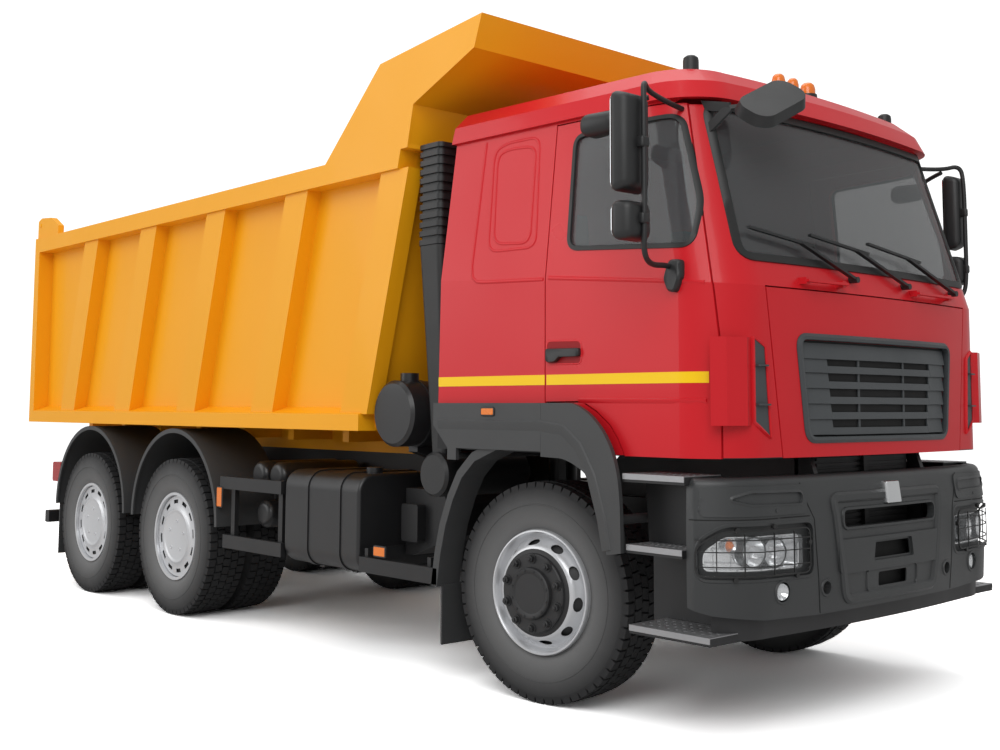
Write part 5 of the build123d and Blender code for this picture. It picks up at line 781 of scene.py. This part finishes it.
def wrapped(run, z, lift):
    """Lays (distance round the front, up, lift) on the bumper's skin."""
    side = -1 if run < 0 else 1
    reach = abs(run)
    if reach <= FRONT_RUN:
        place = Vector((NOSE_X - BOW * (reach / FRONT_RUN) ** 2, reach))
        outward = Vector((1.0, 0.103 * reach)).normalized()
    else:
        angle = math.radians(-3.85) + (min(reach, CORNER_RUN) - FRONT_RUN) / CORNER_RADIUS
        outward = Vector((math.cos(angle), math.sin(angle)))
        place = Vector(CORNER_CENTRE) + outward * CORNER_RADIUS
        if reach > CORNER_RUN:
            place.x -= reach - CORNER_RUN
    lean = -0.022 * max(0.0, min(z, BUMPER_TOP) - 0.96) / 0.188 - 0.01 * max(0.0, 0.7 - z) / 0.206
    curl = z - (BUMPER_TOP - ROLL)
    if curl > 0:
        turn = min(curl / ROLL, math.pi / 2)
        lean -= ROLL * (1 - math.cos(turn)) + max(0.0, curl - ROLL * math.pi / 2)
        z = BUMPER_TOP - ROLL + ROLL * math.sin(turn)
    place += outward * (lean + lift)
    return (place.x + FRONT_AXLE_X, side * place.y, z)


def circle(middle, radius, steps=28):
    """Corners of a round outline."""
    return [(middle[0] + radius * math.cos(math.tau * step / steps), middle[1] + radius * math.sin(
        math.tau * step / steps)) for step in range(steps)]


PLASTIC = finish("bumper_charcoal_plastic", (0.034, 0.036, 0.037), 0.4, bump=0.25, scale=900, shade=0.12)
BENDS = (steps_between(-BUMPER_END, -FRONT_RUN, 0.02)
         + steps_between(-FRONT_RUN - 0.02, FRONT_RUN + 0.02, 0.06)
         + steps_between(FRONT_RUN, BUMPER_END, 0.02))
ROLL_CUTS = (0.7, 0.96, 1.118, 1.127, 1.136, 1.1455, 1.155, 1.165)
form = bmesh.new()
bumper_holes = [rounded(MOUTH, 0.03), rounded(UPPER_SLOT, 0.012), rounded(LOWER_SLOT, 0.012)]
for turned in (list, mirrored):
    bumper_holes += [turned(rounded(LAMP_RECESS, 0.05)), turned(circle(FOG_PLACE, FOG_RADIUS)),
                     turned(circle(TOW_PLACE, TOW_RADIUS))]
cut_sheet(form, BUMPER_EDGE, bumper_holes, -0.006, 0.0, wrapped, BENDS, ROLL_CUTS)
# raised frame, its stepped panel and the slots' lips
strip(form, divided(rounded(FRAME_LOOP, 0.06), 0.05), FRAME_RIDGE, wrapped)
cut_sheet(form, rounded(STEP_PANEL, 0.02), [rounded(STEP_PANEL_SLOT, 0.012)], 0.0, 0.011, wrapped,
          steps_between(-0.46, 0.46, 0.06))
strip(form, divided(rounded(LOWER_PANEL, 0.03), 0.06), LOWER_RIDGE, wrapped)
strip(form, divided(rounded(MOUTH, 0.03), 0.06), MOUTH_LIP, wrapped)
for turned in (list, mirrored):
    strip(form, divided(turned(rounded(LAMP_RECESS, 0.05)), 0.04), LAMP_LIP, wrapped)
    cut_sheet(form, turned(rounded(LAMP_SURROUND, 0.05)), [turned(rounded(LAMP_LENS, 0.03))], -0.038, -0.03,
              wrapped, BENDS)
    cut_sheet(form, turned(rounded(CAP, 0.035)), [turned(rounded(SCOOP, 0.025))], 0.0, 0.006, wrapped, BENDS)
    strip(form, divided(turned(rounded(SCOOP, 0.025)), 0.04), SCOOP_LIP, wrapped)
    for hole, radius in ((TOW_PLACE, TOW_RADIUS), (FOG_PLACE, FOG_RADIUS)):
        strip(form, [Vector(point) for point in turned(circle(hole, radius))], HOLE_LIP, wrapped)
    for spot in SCREW_SPOTS:
        cut_sheet(form, turned(circle(spot, 0.008, 12)), [], 0.0, 0.009, wrapped)
piece("bumper_skin", form, PLASTIC, "chassis", ("bumper",), smooth=35)
form = bmesh.new()
for turned in (list, mirrored):
    strip(form, divided(turned(SEAM_PATH), 0.05, closed=False), SEAM, wrapped, closed=False)
    strip(form, divided(turned(CAP_SEAM), 0.03, closed=False), SEAM, wrapped, closed=False)
# painted shade: black sheets behind the bumper's slots; the seams above are its dark joints
for low, high, reach in SLOT_BACKS:
    plate(form, box_outline(0, reach, low, high), wrapped, -0.05, -0.045)
piece("bumper_seams_and_shade", form, GAP_AND_SHADE_BLACK, "chassis", smooth=0)
form = bmesh.new()
plate(form, rounded(BLANK_PLATE, 0.008), wrapped, 0.0, 0.026, 0.004)
BADGE_METAL = finish("plain_bright_plate", (0.7, 0.71, 0.72), 0.2, metal=0.95, uneven=0.05)
piece("bumper_blank_plate", form, BADGE_METAL, "chassis", smooth=40)

# ---------------------------------------------------------------- skid plate
# A folded steel valance in dark paint under the bumper, with tapered ends and a flat underside, hung
# from the tow beam on two straps.
SKID_FACE = ((-1.2, 0.61), (-1.2, 0.5), (-1.04, 0.458), (1.04, 0.458), (1.2, 0.5), (1.2, 0.61))
SKID_UNDERSIDE = ((1.1, -0.94), (1.205, -0.9), (1.245, -0.5), (1.258, 0.0), (1.245, 0.5), (1.205, 0.9),
                  (1.1, 0.94))
SKID_STRAP = ((1.19, 0.46), (1.245, 0.46), (1.245, 0.62), (1.19, 0.62))


def on_flank(side):
    """Lays (along, up, distance out) on a flat side of the truck; side is -1 on the right."""
    return lambda x, z, y: (x + FRONT_AXLE_X, side * y, z)


SKID_BLACK = finish("skid_black_paint", (0.02, 0.02, 0.021), 0.5, shade=0.2)
form = bmesh.new()
cut_sheet(form, SKID_FACE, [], -0.05, -0.04, wrapped, BENDS)
cut_sheet(form, SKID_UNDERSIDE, [], 0.458, 0.466, lambda x, y, z: (x + FRONT_AXLE_X, y, z))
for side in (-1, 1):
    plate(form, SKID_STRAP, on_flank(side), 0.33, 0.352)
piece("skid_valance", form, SKID_BLACK, "chassis", ("skid_plate",), smooth=35)

# ---------------------------------------------------------------- headlamps and fog lamps
# Clear moulded lenses over a bright vacuum-coated housing with two bowl reflectors and an amber turn
# bulb, behind a guard of welded black wire. The fog lamps are small round ones in the bumper.
BOWL = ((0.0, -0.05), (0.02, -0.046), (0.04, -0.03), (0.056, -0.004), (0.06, 0.006), (0.066, 0.006),
        (0.067, -0.05), (0.0, -0.055))
BULB = ((0.0, 0.006), (0.009, 0.004), (0.013, -0.004), (0.013, -0.026), (0.0, -0.026))
TURN_CUP = ((0.0, -0.02), (0.02, -0.012), (0.03, 0.0), (0.033, 0.0), (0.033, -0.03), (0.0, -0.03))
TURN_BULB = ((0.0, 0.004), (0.012, 0.002), (0.018, -0.008), (0.018, -0.02), (0.0, -0.02))
FOG_CUP = ((0.0, -0.03), (0.02, -0.022), (0.031, -0.006), (0.036, 0.0), (0.036, -0.04), (0.0, -0.04))
FOG_LENS = ((0.0, 0.008), (0.02, 0.006), (0.034, 0.0), (0.034, -0.004), (0.0, -0.003))
BEZEL = ((0.06, 0.01), (0.068, 0.008), (0.068, -0.04), (0.0655, -0.04), (0.0655, 0.004), (0.06, 0.006),
         (0.06, 0.01))
HOUSING_WALL = ((-0.006, -0.094), (-0.006, -0.03), (0.0, -0.03), (0.002, -0.094))
LAMP_SPOTS = ((0.995, 0.832), (0.86, 0.823))
TURN_SPOT = (1.105, 0.862)
GUARD_ROWS = (0.77, 0.832, 0.882)
GUARD_ROW_REACH = (0.66, 1.27)
GUARD_POSTS = (0.77, 0.905, 1.06, 1.18)
GUARD_POST_REACH = (0.735, 0.915)
GUARD_LOOP = ((0.66, 0.73), (1.268, 0.738), (1.268, 0.86), (1.16, 0.925), (0.66, 0.925))
GUARD_FEET = ((1.09, 0.93), (0.9, 0.94), (0.66, 0.86), (0.75, 0.722), (1.1, 0.722))
ROW_WIRE = ((-0.0022, 0.008), (-0.0022, 0.0125), (0.0022, 0.0125), (0.0022, 0.008))
POST_WIRE = ((-0.0022, 0.0105), (-0.0022, 0.015), (0.0022, 0.015), (0.0022, 0.0105))
LOOP_WIRE = ((-0.003, 0.006), (-0.003, 0.013), (0.003, 0.013), (0.003, 0.006))


def facing(run, z, lift):
    """Frame at a place on the bumper whose Z axis looks ahead and a little outwards."""
    place = Vector(wrapped(run, z, lift))
    ahead = Vector((1.0, 0.25 * (1 if run > 0 else -1), 0.0)).normalized()
    return Matrix.Translation(place) @ ahead.to_track_quat("Z", "Y").to_matrix().to_4x4()


LAMP_SILVER = finish("lamp_reflector", (0.8, 0.81, 0.82), 0.16, metal=0.8, uneven=0.03, gloss=0.8)
LENS = glass("lamp_lens", (0.8, 0.83, 0.85), 0.02, 0.08)
AMBER = finish("amber_lens", (0.85, 0.2, 0.008), 0.25, coat=0.4)
WIRE = finish("guard_wire_black", (0.012, 0.012, 0.012), 0.4)
for turned, side, side_name in ((mirrored, -1, "right"), (list, 1, "left")):
    form = bmesh.new()
    lens = divided(turned(rounded(LAMP_LENS, 0.03)), 0.03)
    cut_sheet(form, lens, [], -0.078, -0.072, wrapped, BENDS)
    strip(form, lens, HOUSING_WALL, wrapped)
    for run, z in LAMP_SPOTS:
        lathe(form, BOWL, 40, facing(side * run, z, -0.03))
        lathe(form, BULB, 16, facing(side * run, z, -0.03))
    lathe(form, TURN_CUP, 28, facing(side * TURN_SPOT[0], TURN_SPOT[1], -0.036))
    lathe(form, FOG_CUP, 32, facing(side * FOG_PLACE[0], FOG_PLACE[1], -0.004))
    piece(f"lamp_housing_{side_name}", form, LAMP_SILVER, "chassis", ("front_lamps",),
          smooth=40)
    form = bmesh.new()
    for run, z in LAMP_SPOTS:
        lathe(form, BEZEL, 40, facing(side * run, z, -0.03))
    piece(f"lamp_bezels_{side_name}", form, MOULDED_BLACK, "chassis", smooth=40)
    form = bmesh.new()
    cut_sheet(form, lens, [], -0.03, -0.026, lambda run, z, lift: wrapped(run, z, lift + 0.018), BENDS)
    lathe(form, FOG_LENS, 32, facing(side * FOG_PLACE[0], FOG_PLACE[1], 0.0))
    piece(f"lamp_lens_{side_name}", form, LENS, "chassis", smooth=40)
    form = bmesh.new()
    lathe(form, TURN_BULB, 20, facing(side * TURN_SPOT[0], TURN_SPOT[1], -0.034))
    piece(f"turn_bulb_{side_name}", form, AMBER, "chassis", smooth=40)
    form = bmesh.new()
    for z in GUARD_ROWS:
        wire = turned([(GUARD_ROW_REACH[0], z), (GUARD_ROW_REACH[1], z + 0.008)])
        strip(form, divided(wire, 0.02, closed=False), ROW_WIRE, wrapped, closed=False)
    for run in GUARD_POSTS:
        wire = turned([(run, GUARD_POST_REACH[0]), (run, GUARD_POST_REACH[1])])
        strip(form, divided(wire, 0.04, closed=False), POST_WIRE, wrapped, closed=False)
    strip(form, divided(turned(rounded(GUARD_LOOP, 0.04)), 0.03), LOOP_WIRE, wrapped)
    for spot in GUARD_FEET:
        cut_sheet(form, turned(circle(spot, 0.011, 14)), [], -0.002, 0.014, wrapped)
    piece(f"lamp_guard_{side_name}", form, WIRE, "chassis", smooth=30)

# ---------------------------------------------------------------- cab steps
# Three steps on each side: black folded trays on steel risers, whose arms reach the frame. Pressed
# aluminium treads with punched grip holes and a bright folded front edge lie on the trays.
# height, rear end and front end of each tread
TREADS = ((1.15, 0.715, 1.07), (0.838, 0.735, 1.055), (0.49, 0.75, 1.2))
UPPER_RISER = ((0.735, 0.83), (1.05, 0.83), (1.05, 1.12), (0.715, 1.12))
LOWER_RISER = ((0.67, 0.47), (1.04, 0.47), (1.04, 0.82), (0.67, 0.82))
ARM_HEIGHTS = (0.745, 0.91)
ARM_MIDDLE = 0.88
ARM_HALF = 0.03
FRAME_FACE = 0.4
TRAY_DEPTH = 0.034
TRAY_INNER = 0.967
TREAD_OUTER = 1.225
TREAD_INNER = 0.975
GRIP_RADIUS = 0.011
GRIP_ROWS = 4
GRIP_COLUMNS = 9

STEP_BLACK = finish("step_black_paint", (0.014, 0.014, 0.015), 0.5, shade=0.2)
TREAD_METAL = finish("tread_aluminium", (0.42, 0.42, 0.43), 0.4, metal=0.8, bump=0.3, scale=500, shade=0.2)
form = bmesh.new()
for side in (-1, 1):
    flank = on_flank(side)
    for z, rear, front in TREADS:
        tray = [(rear, z - TRAY_DEPTH), (front, z - TRAY_DEPTH), (front, z), (rear, z)]
        plate(form, tray, flank, TRAY_INNER, TREAD_OUTER)
    plate(form, UPPER_RISER, flank, 1.06, 1.072)
    plate(form, LOWER_RISER, flank, 0.957, 0.969)
    for z in ARM_HEIGHTS:
        plate(form, box_outline(ARM_MIDDLE, ARM_HALF, z - ARM_HALF, z + ARM_HALF), flank, FRAME_FACE, 0.957)
piece("step_frames", form, STEP_BLACK, "chassis", ("cab_steps",), smooth=0)
for side, side_name in ((-1, "right"), (1, "left")):
    form = bmesh.new()
    for z, rear, front in TREADS:
        lay = lambda x, y, lift: (x + FRONT_AXLE_X, side * y, z + lift)
        grip_pitch = (front - rear - 0.07) / (GRIP_COLUMNS - 1)
        grips = [circle((rear + 0.035 + grip_pitch * column, TREAD_INNER + 0.05 + 0.05 * row),
                        GRIP_RADIUS, 10)
                 for row in range(GRIP_ROWS) for column in range(GRIP_COLUMNS)]
        cut_sheet(form,
                  [(rear, TREAD_INNER), (front, TREAD_INNER), (front, TREAD_OUTER), (rear, TREAD_OUTER)],
                  grips, 0.0005, 0.004, lay)
        edge = lambda x, up, lift: (x + FRONT_AXLE_X, side * (TREAD_OUTER + lift), z + up)
        plate(form, [(rear, -0.022), (front, -0.022), (front, 0.004), (rear, 0.004)], edge, 0.0, 0.004, 0.001)
    piece(f"step_treads_{side_name}", form, TREAD_METAL, "chassis", smooth=0)

# ---------------------------------------------------------------- markers, beacons and reflectors
# Amber moulded lenses: three domed beacons on black feet on the roof, a side marker in a black bezel on
# each wing, and reflectors on the guards. A small black pod stands at each end of the roof.
# across, radius
BEACONS = ((-0.15, 0.035), (-0.025, 0.031), (0.11, 0.04))
ROOF_POD = ((0.0, 3.118), (0.022, 3.116), (0.035, 3.106), (0.038, 3.09), (0.038, 2.99), (0.0, 2.99))
POD_PLACE = (0.829, 0.859)
BEACON_ALONG = 0.825
BEACON_FOOT_Z = 3.098
# along from the axle, height, half length, half height, outside face
SIDE_LENSES = ((-0.18, 1.425, 0.045, 0.016, 1.25), (-2.895, 0.848, 0.03, 0.062, 1.236),
               (-1.1, 0.648, 0.05, 0.024, 1.236))
LENS_RIM = ((-0.001, -0.001), (0.0, 0.006), (0.007, 0.005), (0.009, -0.001))

form = bmesh.new()
for y, radius in BEACONS:
    lathe(form, ((0.0, 0.066), (radius * 0.55, 0.063), (radius * 0.85, 0.052), (radius, 0.03),
                 (radius, -0.03), (0.0, -0.03)), 32,
          Matrix.Translation((BEACON_ALONG + FRONT_AXLE_X, y, BEACON_FOOT_Z)))
piece("roof_beacons", form, AMBER, "cab", smooth=40)
form = bmesh.new()
for y, radius in BEACONS:
    lathe(form, ((0.0, 0.0), (radius + 0.008, 0.0), (radius + 0.012, -0.05), (0.0, -0.05)), 32,
          Matrix.Translation((BEACON_ALONG + FRONT_AXLE_X, y, BEACON_FOOT_Z)))
for side in (-1, 1):
    lathe(form, ROOF_POD, 32, Matrix.Translation((POD_PLACE[0] + FRONT_AXLE_X, side * POD_PLACE[1], 0)))
piece("roof_pods", form, MOULDED_BLACK, "cab", ("roof_lights",), 40)
for side, side_name in ((-1, "right"), (1, "left")):
    form = bmesh.new()
    rims = bmesh.new()
    for x, z, half_length, half_height, face_y in SIDE_LENSES:
        lay = lambda u, v, lift: (u + FRONT_AXLE_X, side * (face_y + lift), v)
        outline = rounded(box_outline(x, half_length, z - half_height, z + half_height), 0.006)
        plate(form, outline, lay, 0.0, 0.008, 0.002)
        strip(rims, divided(outline, 0.05), LENS_RIM, lay)
    piece(f"side_lenses_{side_name}", form, AMBER, "chassis", smooth=40)
    piece(f"side_lens_rims_{side_name}", rims, MOULDED_BLACK, "chassis", smooth=40)

# ---------------------------------------------------------------- door mirrors
# Each door carries three mirrors in soft-edged black plastic heads on a bent steel tube: a tall main one,
# a wide-angle one below and a kerb mirror above the window. Silvered glass faces the driver. The left
# set is folded in towards its door.
# centre along and across, length, width, low and high z, edge radius
MIRROR_HEADS = ((0.98, 1.45, 0.088, 0.2, 2.36, 2.812, 0.032), (0.985, 1.45, 0.1, 0.19, 2.155, 2.332, 0.034),
                (0.72, 1.35, 0.21, 0.14, 2.672, 2.78, 0.045))
NOSE_SHRINK = 0.78
# the left set's reach past the fold line is drawn in to this share
FOLD_LINE = 1.2
FOLD = 0.6
# the tube's route: along, across, up
TUBE_ROUTE = ((0.915, 1.03, 2.815), (0.95, 1.3, 2.83), (1.03, 1.425, 2.86), (1.045, 1.44, 2.75),
              (1.045, 1.44, 2.45), (1.045, 1.44, 2.2), (1.03, 1.43, 2.1), (0.99, 1.34, 2.06),
              (0.97, 1.2, 2.075), (0.96, 1.12, 2.06))
KERB_ARM = ((0.95, 1.3, 2.815), (0.86, 1.35, 2.8), (0.78, 1.36, 2.76))
TUBE_RADIUS = 0.0125
CLAMP_PLACE = (1.035, 1.44)
CLAMP_HEIGHTS = (2.25, 2.58)
CLAMP_SIZE = (0.05, 0.05, 0.05)
FOOT = ((0.96, 2.1), (0.935, 2.02), (0.96, 1.96), (1.0, 1.95), (1.03, 2.02), (1.02, 2.1))
# along from the axle, across, width, low and high z of each glass
MIRROR_FACES = ((0.9355, 1.45, 0.165, 2.385, 2.79), (0.9345, 1.45, 0.155, 2.178, 2.31))


def folded(side, y):
    """Distance from the middle plane once the left set is folded in."""
    return y if side < 0 or y < FOLD_LINE else FOLD_LINE + (y - FOLD_LINE) * FOLD


def soft_box(form, centre, size, radius, shrink):
    """Box with rounded edges whose front face is drawn in by shrink."""
    before = set(form.verts)
    bmesh.ops.create_cube(form, size=1.0)
    made = [corner for corner in form.verts if corner not in before]
    for corner in made:
        narrowed = shrink if corner.co.x > 0 else 1.0
        corner.co = Vector((corner.co.x * size[0], corner.co.y * size[1] * narrowed,
                            corner.co.z * size[2] * (1 + narrowed) / 2)) + Vector(centre)
    edges = [edge for edge in form.edges if edge.verts[0] in made and edge.verts[1] in made]
    bmesh.ops.bevel(form, geom=edges, offset=radius, segments=5, profile=0.5, affect="EDGES",
                    clamp_overlap=True, material=-1)


def tube(name, route, radius, side, material, body):
    """Bent steel tube along a smooth route."""
    line = bpy.data.curves.new(name, "CURVE")
    line.dimensions = "3D"
    line.bevel_depth = radius
    line.bevel_resolution = 3
    line.use_fill_caps = True
    spline = line.splines.new("NURBS")
    spline.points.add(len(route) - 1)
    for point, (x, y, z) in zip(spline.points, route):
        point.co = (x + FRONT_AXLE_X, side * folded(side, y), z, 1)
    spline.order_u = 3
    spline.use_endpoint_u = True
    line.materials.append(material)
    made = bpy.data.objects.new(name, line)
    bpy.context.collection.objects.link(made)
    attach(made, body)
    return made


SILVERING = finish("mirror_silvering", (0.8, 0.82, 0.84), 0.04, metal=1.0, uneven=0.01)
for side, side_name in ((-1, "right"), (1, "left")):
    door = f"door_{side_name}"
    form = bmesh.new()
    for x, y, length, width, low, high, radius in MIRROR_HEADS:
        centre = (x + FRONT_AXLE_X, side * y, (low + high) / 2)
        soft_box(form, centre, (length, width, high - low), radius, NOSE_SHRINK)
    for z in CLAMP_HEIGHTS:
        soft_box(form, (CLAMP_PLACE[0] + FRONT_AXLE_X, side * CLAMP_PLACE[1], z), CLAMP_SIZE, 0.012, 1.0)
    for corner in form.verts:
        corner.co.y = side * folded(side, side * corner.co.y)
    plate(form, rounded(FOOT, 0.02), on_side(side), 0.0, 0.035, 0.01)
    piece(f"mirror_heads_{side_name}", form, MOULDED_BLACK, door,
          (f"door_mirrors_{side_name}",), 40)
    tube(f"mirror_tube_{side_name}", TUBE_ROUTE, TUBE_RADIUS, side, MOULDED_BLACK, door)
    tube(f"kerb_mirror_arm_{side_name}", KERB_ARM, TUBE_RADIUS, side, MOULDED_BLACK, door)
    form = bmesh.new()
    for x, y, width, low, high in MIRROR_FACES:
        lay = lambda u, v, lift: (x - lift + FRONT_AXLE_X, side * folded(side, u), v)
        plate(form, rounded(box_outline(y, width / 2, low, high), 0.025), lay, 0.0, 0.004, 0.001)
    piece(f"mirror_glass_{side_name}", form, SILVERING, door, smooth=40)

# ---------------------------------------------------------------- remaining steel, castings and plastic
# Frame, tanks and guards are steel in black chassis paint, axles and springs dark castings, the tipping
# body yellow enamel, the wings moulded plastic, and the ram's stages hard chrome.
YELLOW = finish("body_yellow_enamel", (0.93, 0.4, 0.006), 0.42, coat=0.08, shade=0.08, patches=1.4, gloss=0.3)
CHASSIS = finish("chassis_black_paint", (0.012, 0.012, 0.013), 0.45, shade=0.2)
TANK_BLACK = finish("tank_black_paint", (0.016, 0.016, 0.017), 0.36, coat=0.1, shade=0.2)
CAST = finish("cast_iron_dark", (0.02, 0.02, 0.021), 0.6, bump=0.3, scale=240, shade=0.2)
BLOCK = finish("engine_casting", (0.06, 0.06, 0.06), 0.6, bump=0.3, scale=120, shade=0.3)
CHROME = finish("ram_chrome", (0.8, 0.81, 0.82), 0.14, metal=1.0, uneven=0.04)
TAIL_RED = finish("tail_lens", (0.4, 0.01, 0.01), 0.25, coat=0.5)
TRIM = finish("cabin_trim", (0.12, 0.12, 0.122), 0.7, bump=0.2, scale=500)
CORE = finish("radiator_core", (0.02, 0.02, 0.021), 0.5, metal=0.4)
WING = finish("wing_grey_plastic", (0.045, 0.046, 0.047), 0.5, bump=0.25, scale=900, shade=0.12)
paint(YELLOW, "bed", "tailgate")
paint(WING, "front_fenders", "fender_tops", "rear_mudguards")
paint(MOULDED_BLACK, "air_cleaner", "wipers", "front_mirror")
paint(TANK_BLACK, "fuel_tank", "hydraulic_tank", "air_tanks")
paint(CHASSIS, "chassis_frame", "subframe", "equipment_box", "silencer", "side_guards", "hoist_barrel")
paint(CAST, "front_axle_beam", "drive_axles", "front_springs", "rear_springs", "propshafts", "knuckle_right",
      "knuckle_left", "tie_rod")
paint(BLOCK, "engine_block")
paint(CORE, "radiator")
paint(CHROME, "hoist_stage_1", "hoist_stage_2", "hoist_stage_3")
paint(TRIM, "cabin_interior")
paint(TAIL_RED, "tail_lamps")

# ---------------------------------------------------------------- body flashing
# A folded steel strip in the body's yellow enamel, welded between the head of the front wall and the
# foot of the canopy.
FLASHING = ((-0.954, 2.884), (-0.872, 2.884), (-0.872, 2.909), (-0.954, 2.909))
FLASHING_HALF = 1.239

form = bmesh.new()
plate(form, FLASHING, on_flank(1), -FLASHING_HALF, FLASHING_HALF)
piece("bed_flashing", form, YELLOW, "tipper", smooth=0)

# ---------------------------------------------------------------- front wheel arches
# The rear half of each front wheel arch: a moulded plastic channel from the wing's underside down to the
# mud flap, with a turned-up lip. A pressed ridge runs along the wing's face above it.
ARCH_PATH = ((-0.13, 1.235), (-0.3, 1.172), (-0.4, 1.085), (-0.47, 0.97), (-0.53, 0.83), (-0.57, 0.68),
             (-0.598, 0.51))
ARCH_CHANNEL = ((0.0, 1.08), (0.0, 1.235), (0.048, 1.235), (0.052, 1.229), (0.05, 1.223), (0.012, 1.223),
                (0.012, 1.08))
RIDGE_PATH = ((-0.575, 1.376), (0.2, 1.376), (0.36, 1.358), (0.47, 1.28), (0.56, 1.14), (0.625, 0.95),
              (0.655, 0.81))
RIDGE = ((-0.01, 1.249), (-0.002, 1.256), (0.004, 1.256), (0.05, 1.249))

for side, side_name in ((-1, "right"), (1, "left")):
    form = bmesh.new()
    strip(form, divided(ARCH_PATH, 0.04, closed=False), ARCH_CHANNEL, on_flank(side), closed=False)
    piece(f"wheel_arch_{side_name}", form, WING, "chassis", smooth=40)
    form = bmesh.new()
    strip(form, divided(RIDGE_PATH, 0.04, closed=False), RIDGE, on_flank(side), closed=False)
    piece(f"wing_ridge_{side_name}", form, WING, "chassis", smooth=40)

# ---------------------------------------------------------------- studio floor, light and camera
# A white studio floor that fades into a white backdrop, broad soft lamps above, and the camera low at
# the truck's right front corner. Neither floor nor lamps belong to the truck.
FLOOR_HALF = 120

floor_form = bmesh.new()
bmesh.ops.create_grid(floor_form, x_segments=2, y_segments=2, size=FLOOR_HALF)
floor_mesh = bpy.data.meshes.new("studio_floor")
floor_form.to_mesh(floor_mesh)
floor_form.free()
FLOOR_WHITE = bpy.data.materials.new("studio_floor_white")
FLOOR_WHITE.use_nodes = True
floor_tree = FLOOR_WHITE.node_tree
floor_tree.nodes.remove(floor_tree.nodes["Principled BSDF"])
floor_rays = floor_tree.nodes.new("ShaderNodeLightPath")
floor_pick = floor_tree.nodes.new("ShaderNodeMixShader")
plain_floor = floor_tree.nodes.new("ShaderNodeBsdfDiffuse")
seen_floor = floor_tree.nodes.new("ShaderNodeBsdfDiffuse")
plain_floor.inputs["Color"].default_value = (0.6, 0.6, 0.6, 1)
seen_floor.inputs["Color"].default_value = (2.1, 2.1, 2.1, 1)
floor_tree.links.new(floor_rays.outputs["Is Camera Ray"], floor_pick.inputs["Fac"])
floor_tree.links.new(plain_floor.outputs["BSDF"], floor_pick.inputs[1])
floor_tree.links.new(seen_floor.outputs["BSDF"], floor_pick.inputs[2])
floor_tree.links.new(floor_pick.outputs["Shader"], floor_tree.nodes["Material Output"].inputs["Surface"])
floor_mesh.materials.append(FLOOR_WHITE)
studio_floor = bpy.data.objects.new("studio_floor", floor_mesh)
bpy.context.collection.objects.link(studio_floor)

sky = bpy.data.worlds.new("studio_sky")
sky.use_nodes = True
sky_tree = sky.node_tree
soft = sky_tree.nodes["Background"]
soft.inputs["Color"].default_value = (1, 1, 1, 1)
soft.inputs["Strength"].default_value = 0.55
backdrop = sky_tree.nodes.new("ShaderNodeBackground")
backdrop.inputs["Color"].default_value = (1, 1, 1, 1)
backdrop.inputs["Strength"].default_value = 1.2
sky_rays = sky_tree.nodes.new("ShaderNodeLightPath")
sky_pick = sky_tree.nodes.new("ShaderNodeMixShader")
sky_tree.links.new(sky_rays.outputs["Is Camera Ray"], sky_pick.inputs["Fac"])
sky_tree.links.new(soft.outputs["Background"], sky_pick.inputs[1])
sky_tree.links.new(backdrop.outputs["Background"], sky_pick.inputs[2])
sky_tree.links.new(sky_pick.outputs["Shader"], sky_tree.nodes["World Output"].inputs["Surface"])
bpy.context.scene.world = sky

# name, place, aim, side in metres, power
for name, place, aim, size, power in (("key", (9, -9, 9), (0, 0, 1.5), 8, 700),
                                      ("fill", (-7, -11, 6), (-2, 0, 1.5), 9, 450),
                                      ("top", (0, 0, 12), (0, 0, 0), 10, 500)):
    lamp = bpy.data.lights.new(name, "AREA")
    lamp.energy = power
    lamp.size = size
    lamp_object = bpy.data.objects.new(name, lamp)
    lamp_object.location = place
    lamp_object.rotation_euler = (Vector(aim) - Vector(place)).to_track_quat("-Z", "Y").to_euler()
    bpy.context.collection.objects.link(lamp_object)

EYE = Vector((4.478 + FRONT_AXLE_X, -5.312, 1.446))
HEADING = math.radians(47.73)
PITCH = math.radians(5.20)
ROLL_ANGLE = math.radians(0.19)
look = Vector((-math.sin(HEADING) * math.cos(PITCH), math.cos(HEADING) * math.cos(PITCH), math.sin(PITCH)))
level_right = Vector((math.cos(HEADING), math.sin(HEADING), 0))
level_up = level_right.cross(look)
right = level_right * math.cos(ROLL_ANGLE) + level_up * math.sin(ROLL_ANGLE)
up = level_up * math.cos(ROLL_ANGLE) - level_right * math.sin(ROLL_ANGLE)
camera = bpy.data.cameras.new("camera")
camera.lens = 44.0
camera.sensor_width = 36.0
camera.shift_x = -0.0135
camera.shift_y = -0.0788
camera_object = bpy.data.objects.new("camera", camera)
camera_object.matrix_world = Matrix.Translation(EYE) @ Matrix((right, up, -look)).transposed().to_4x4()
bpy.context.collection.objects.link(camera_object)
bpy.context.scene.camera = camera_object
bpy.context.scene.view_settings.view_transform = "Standard"
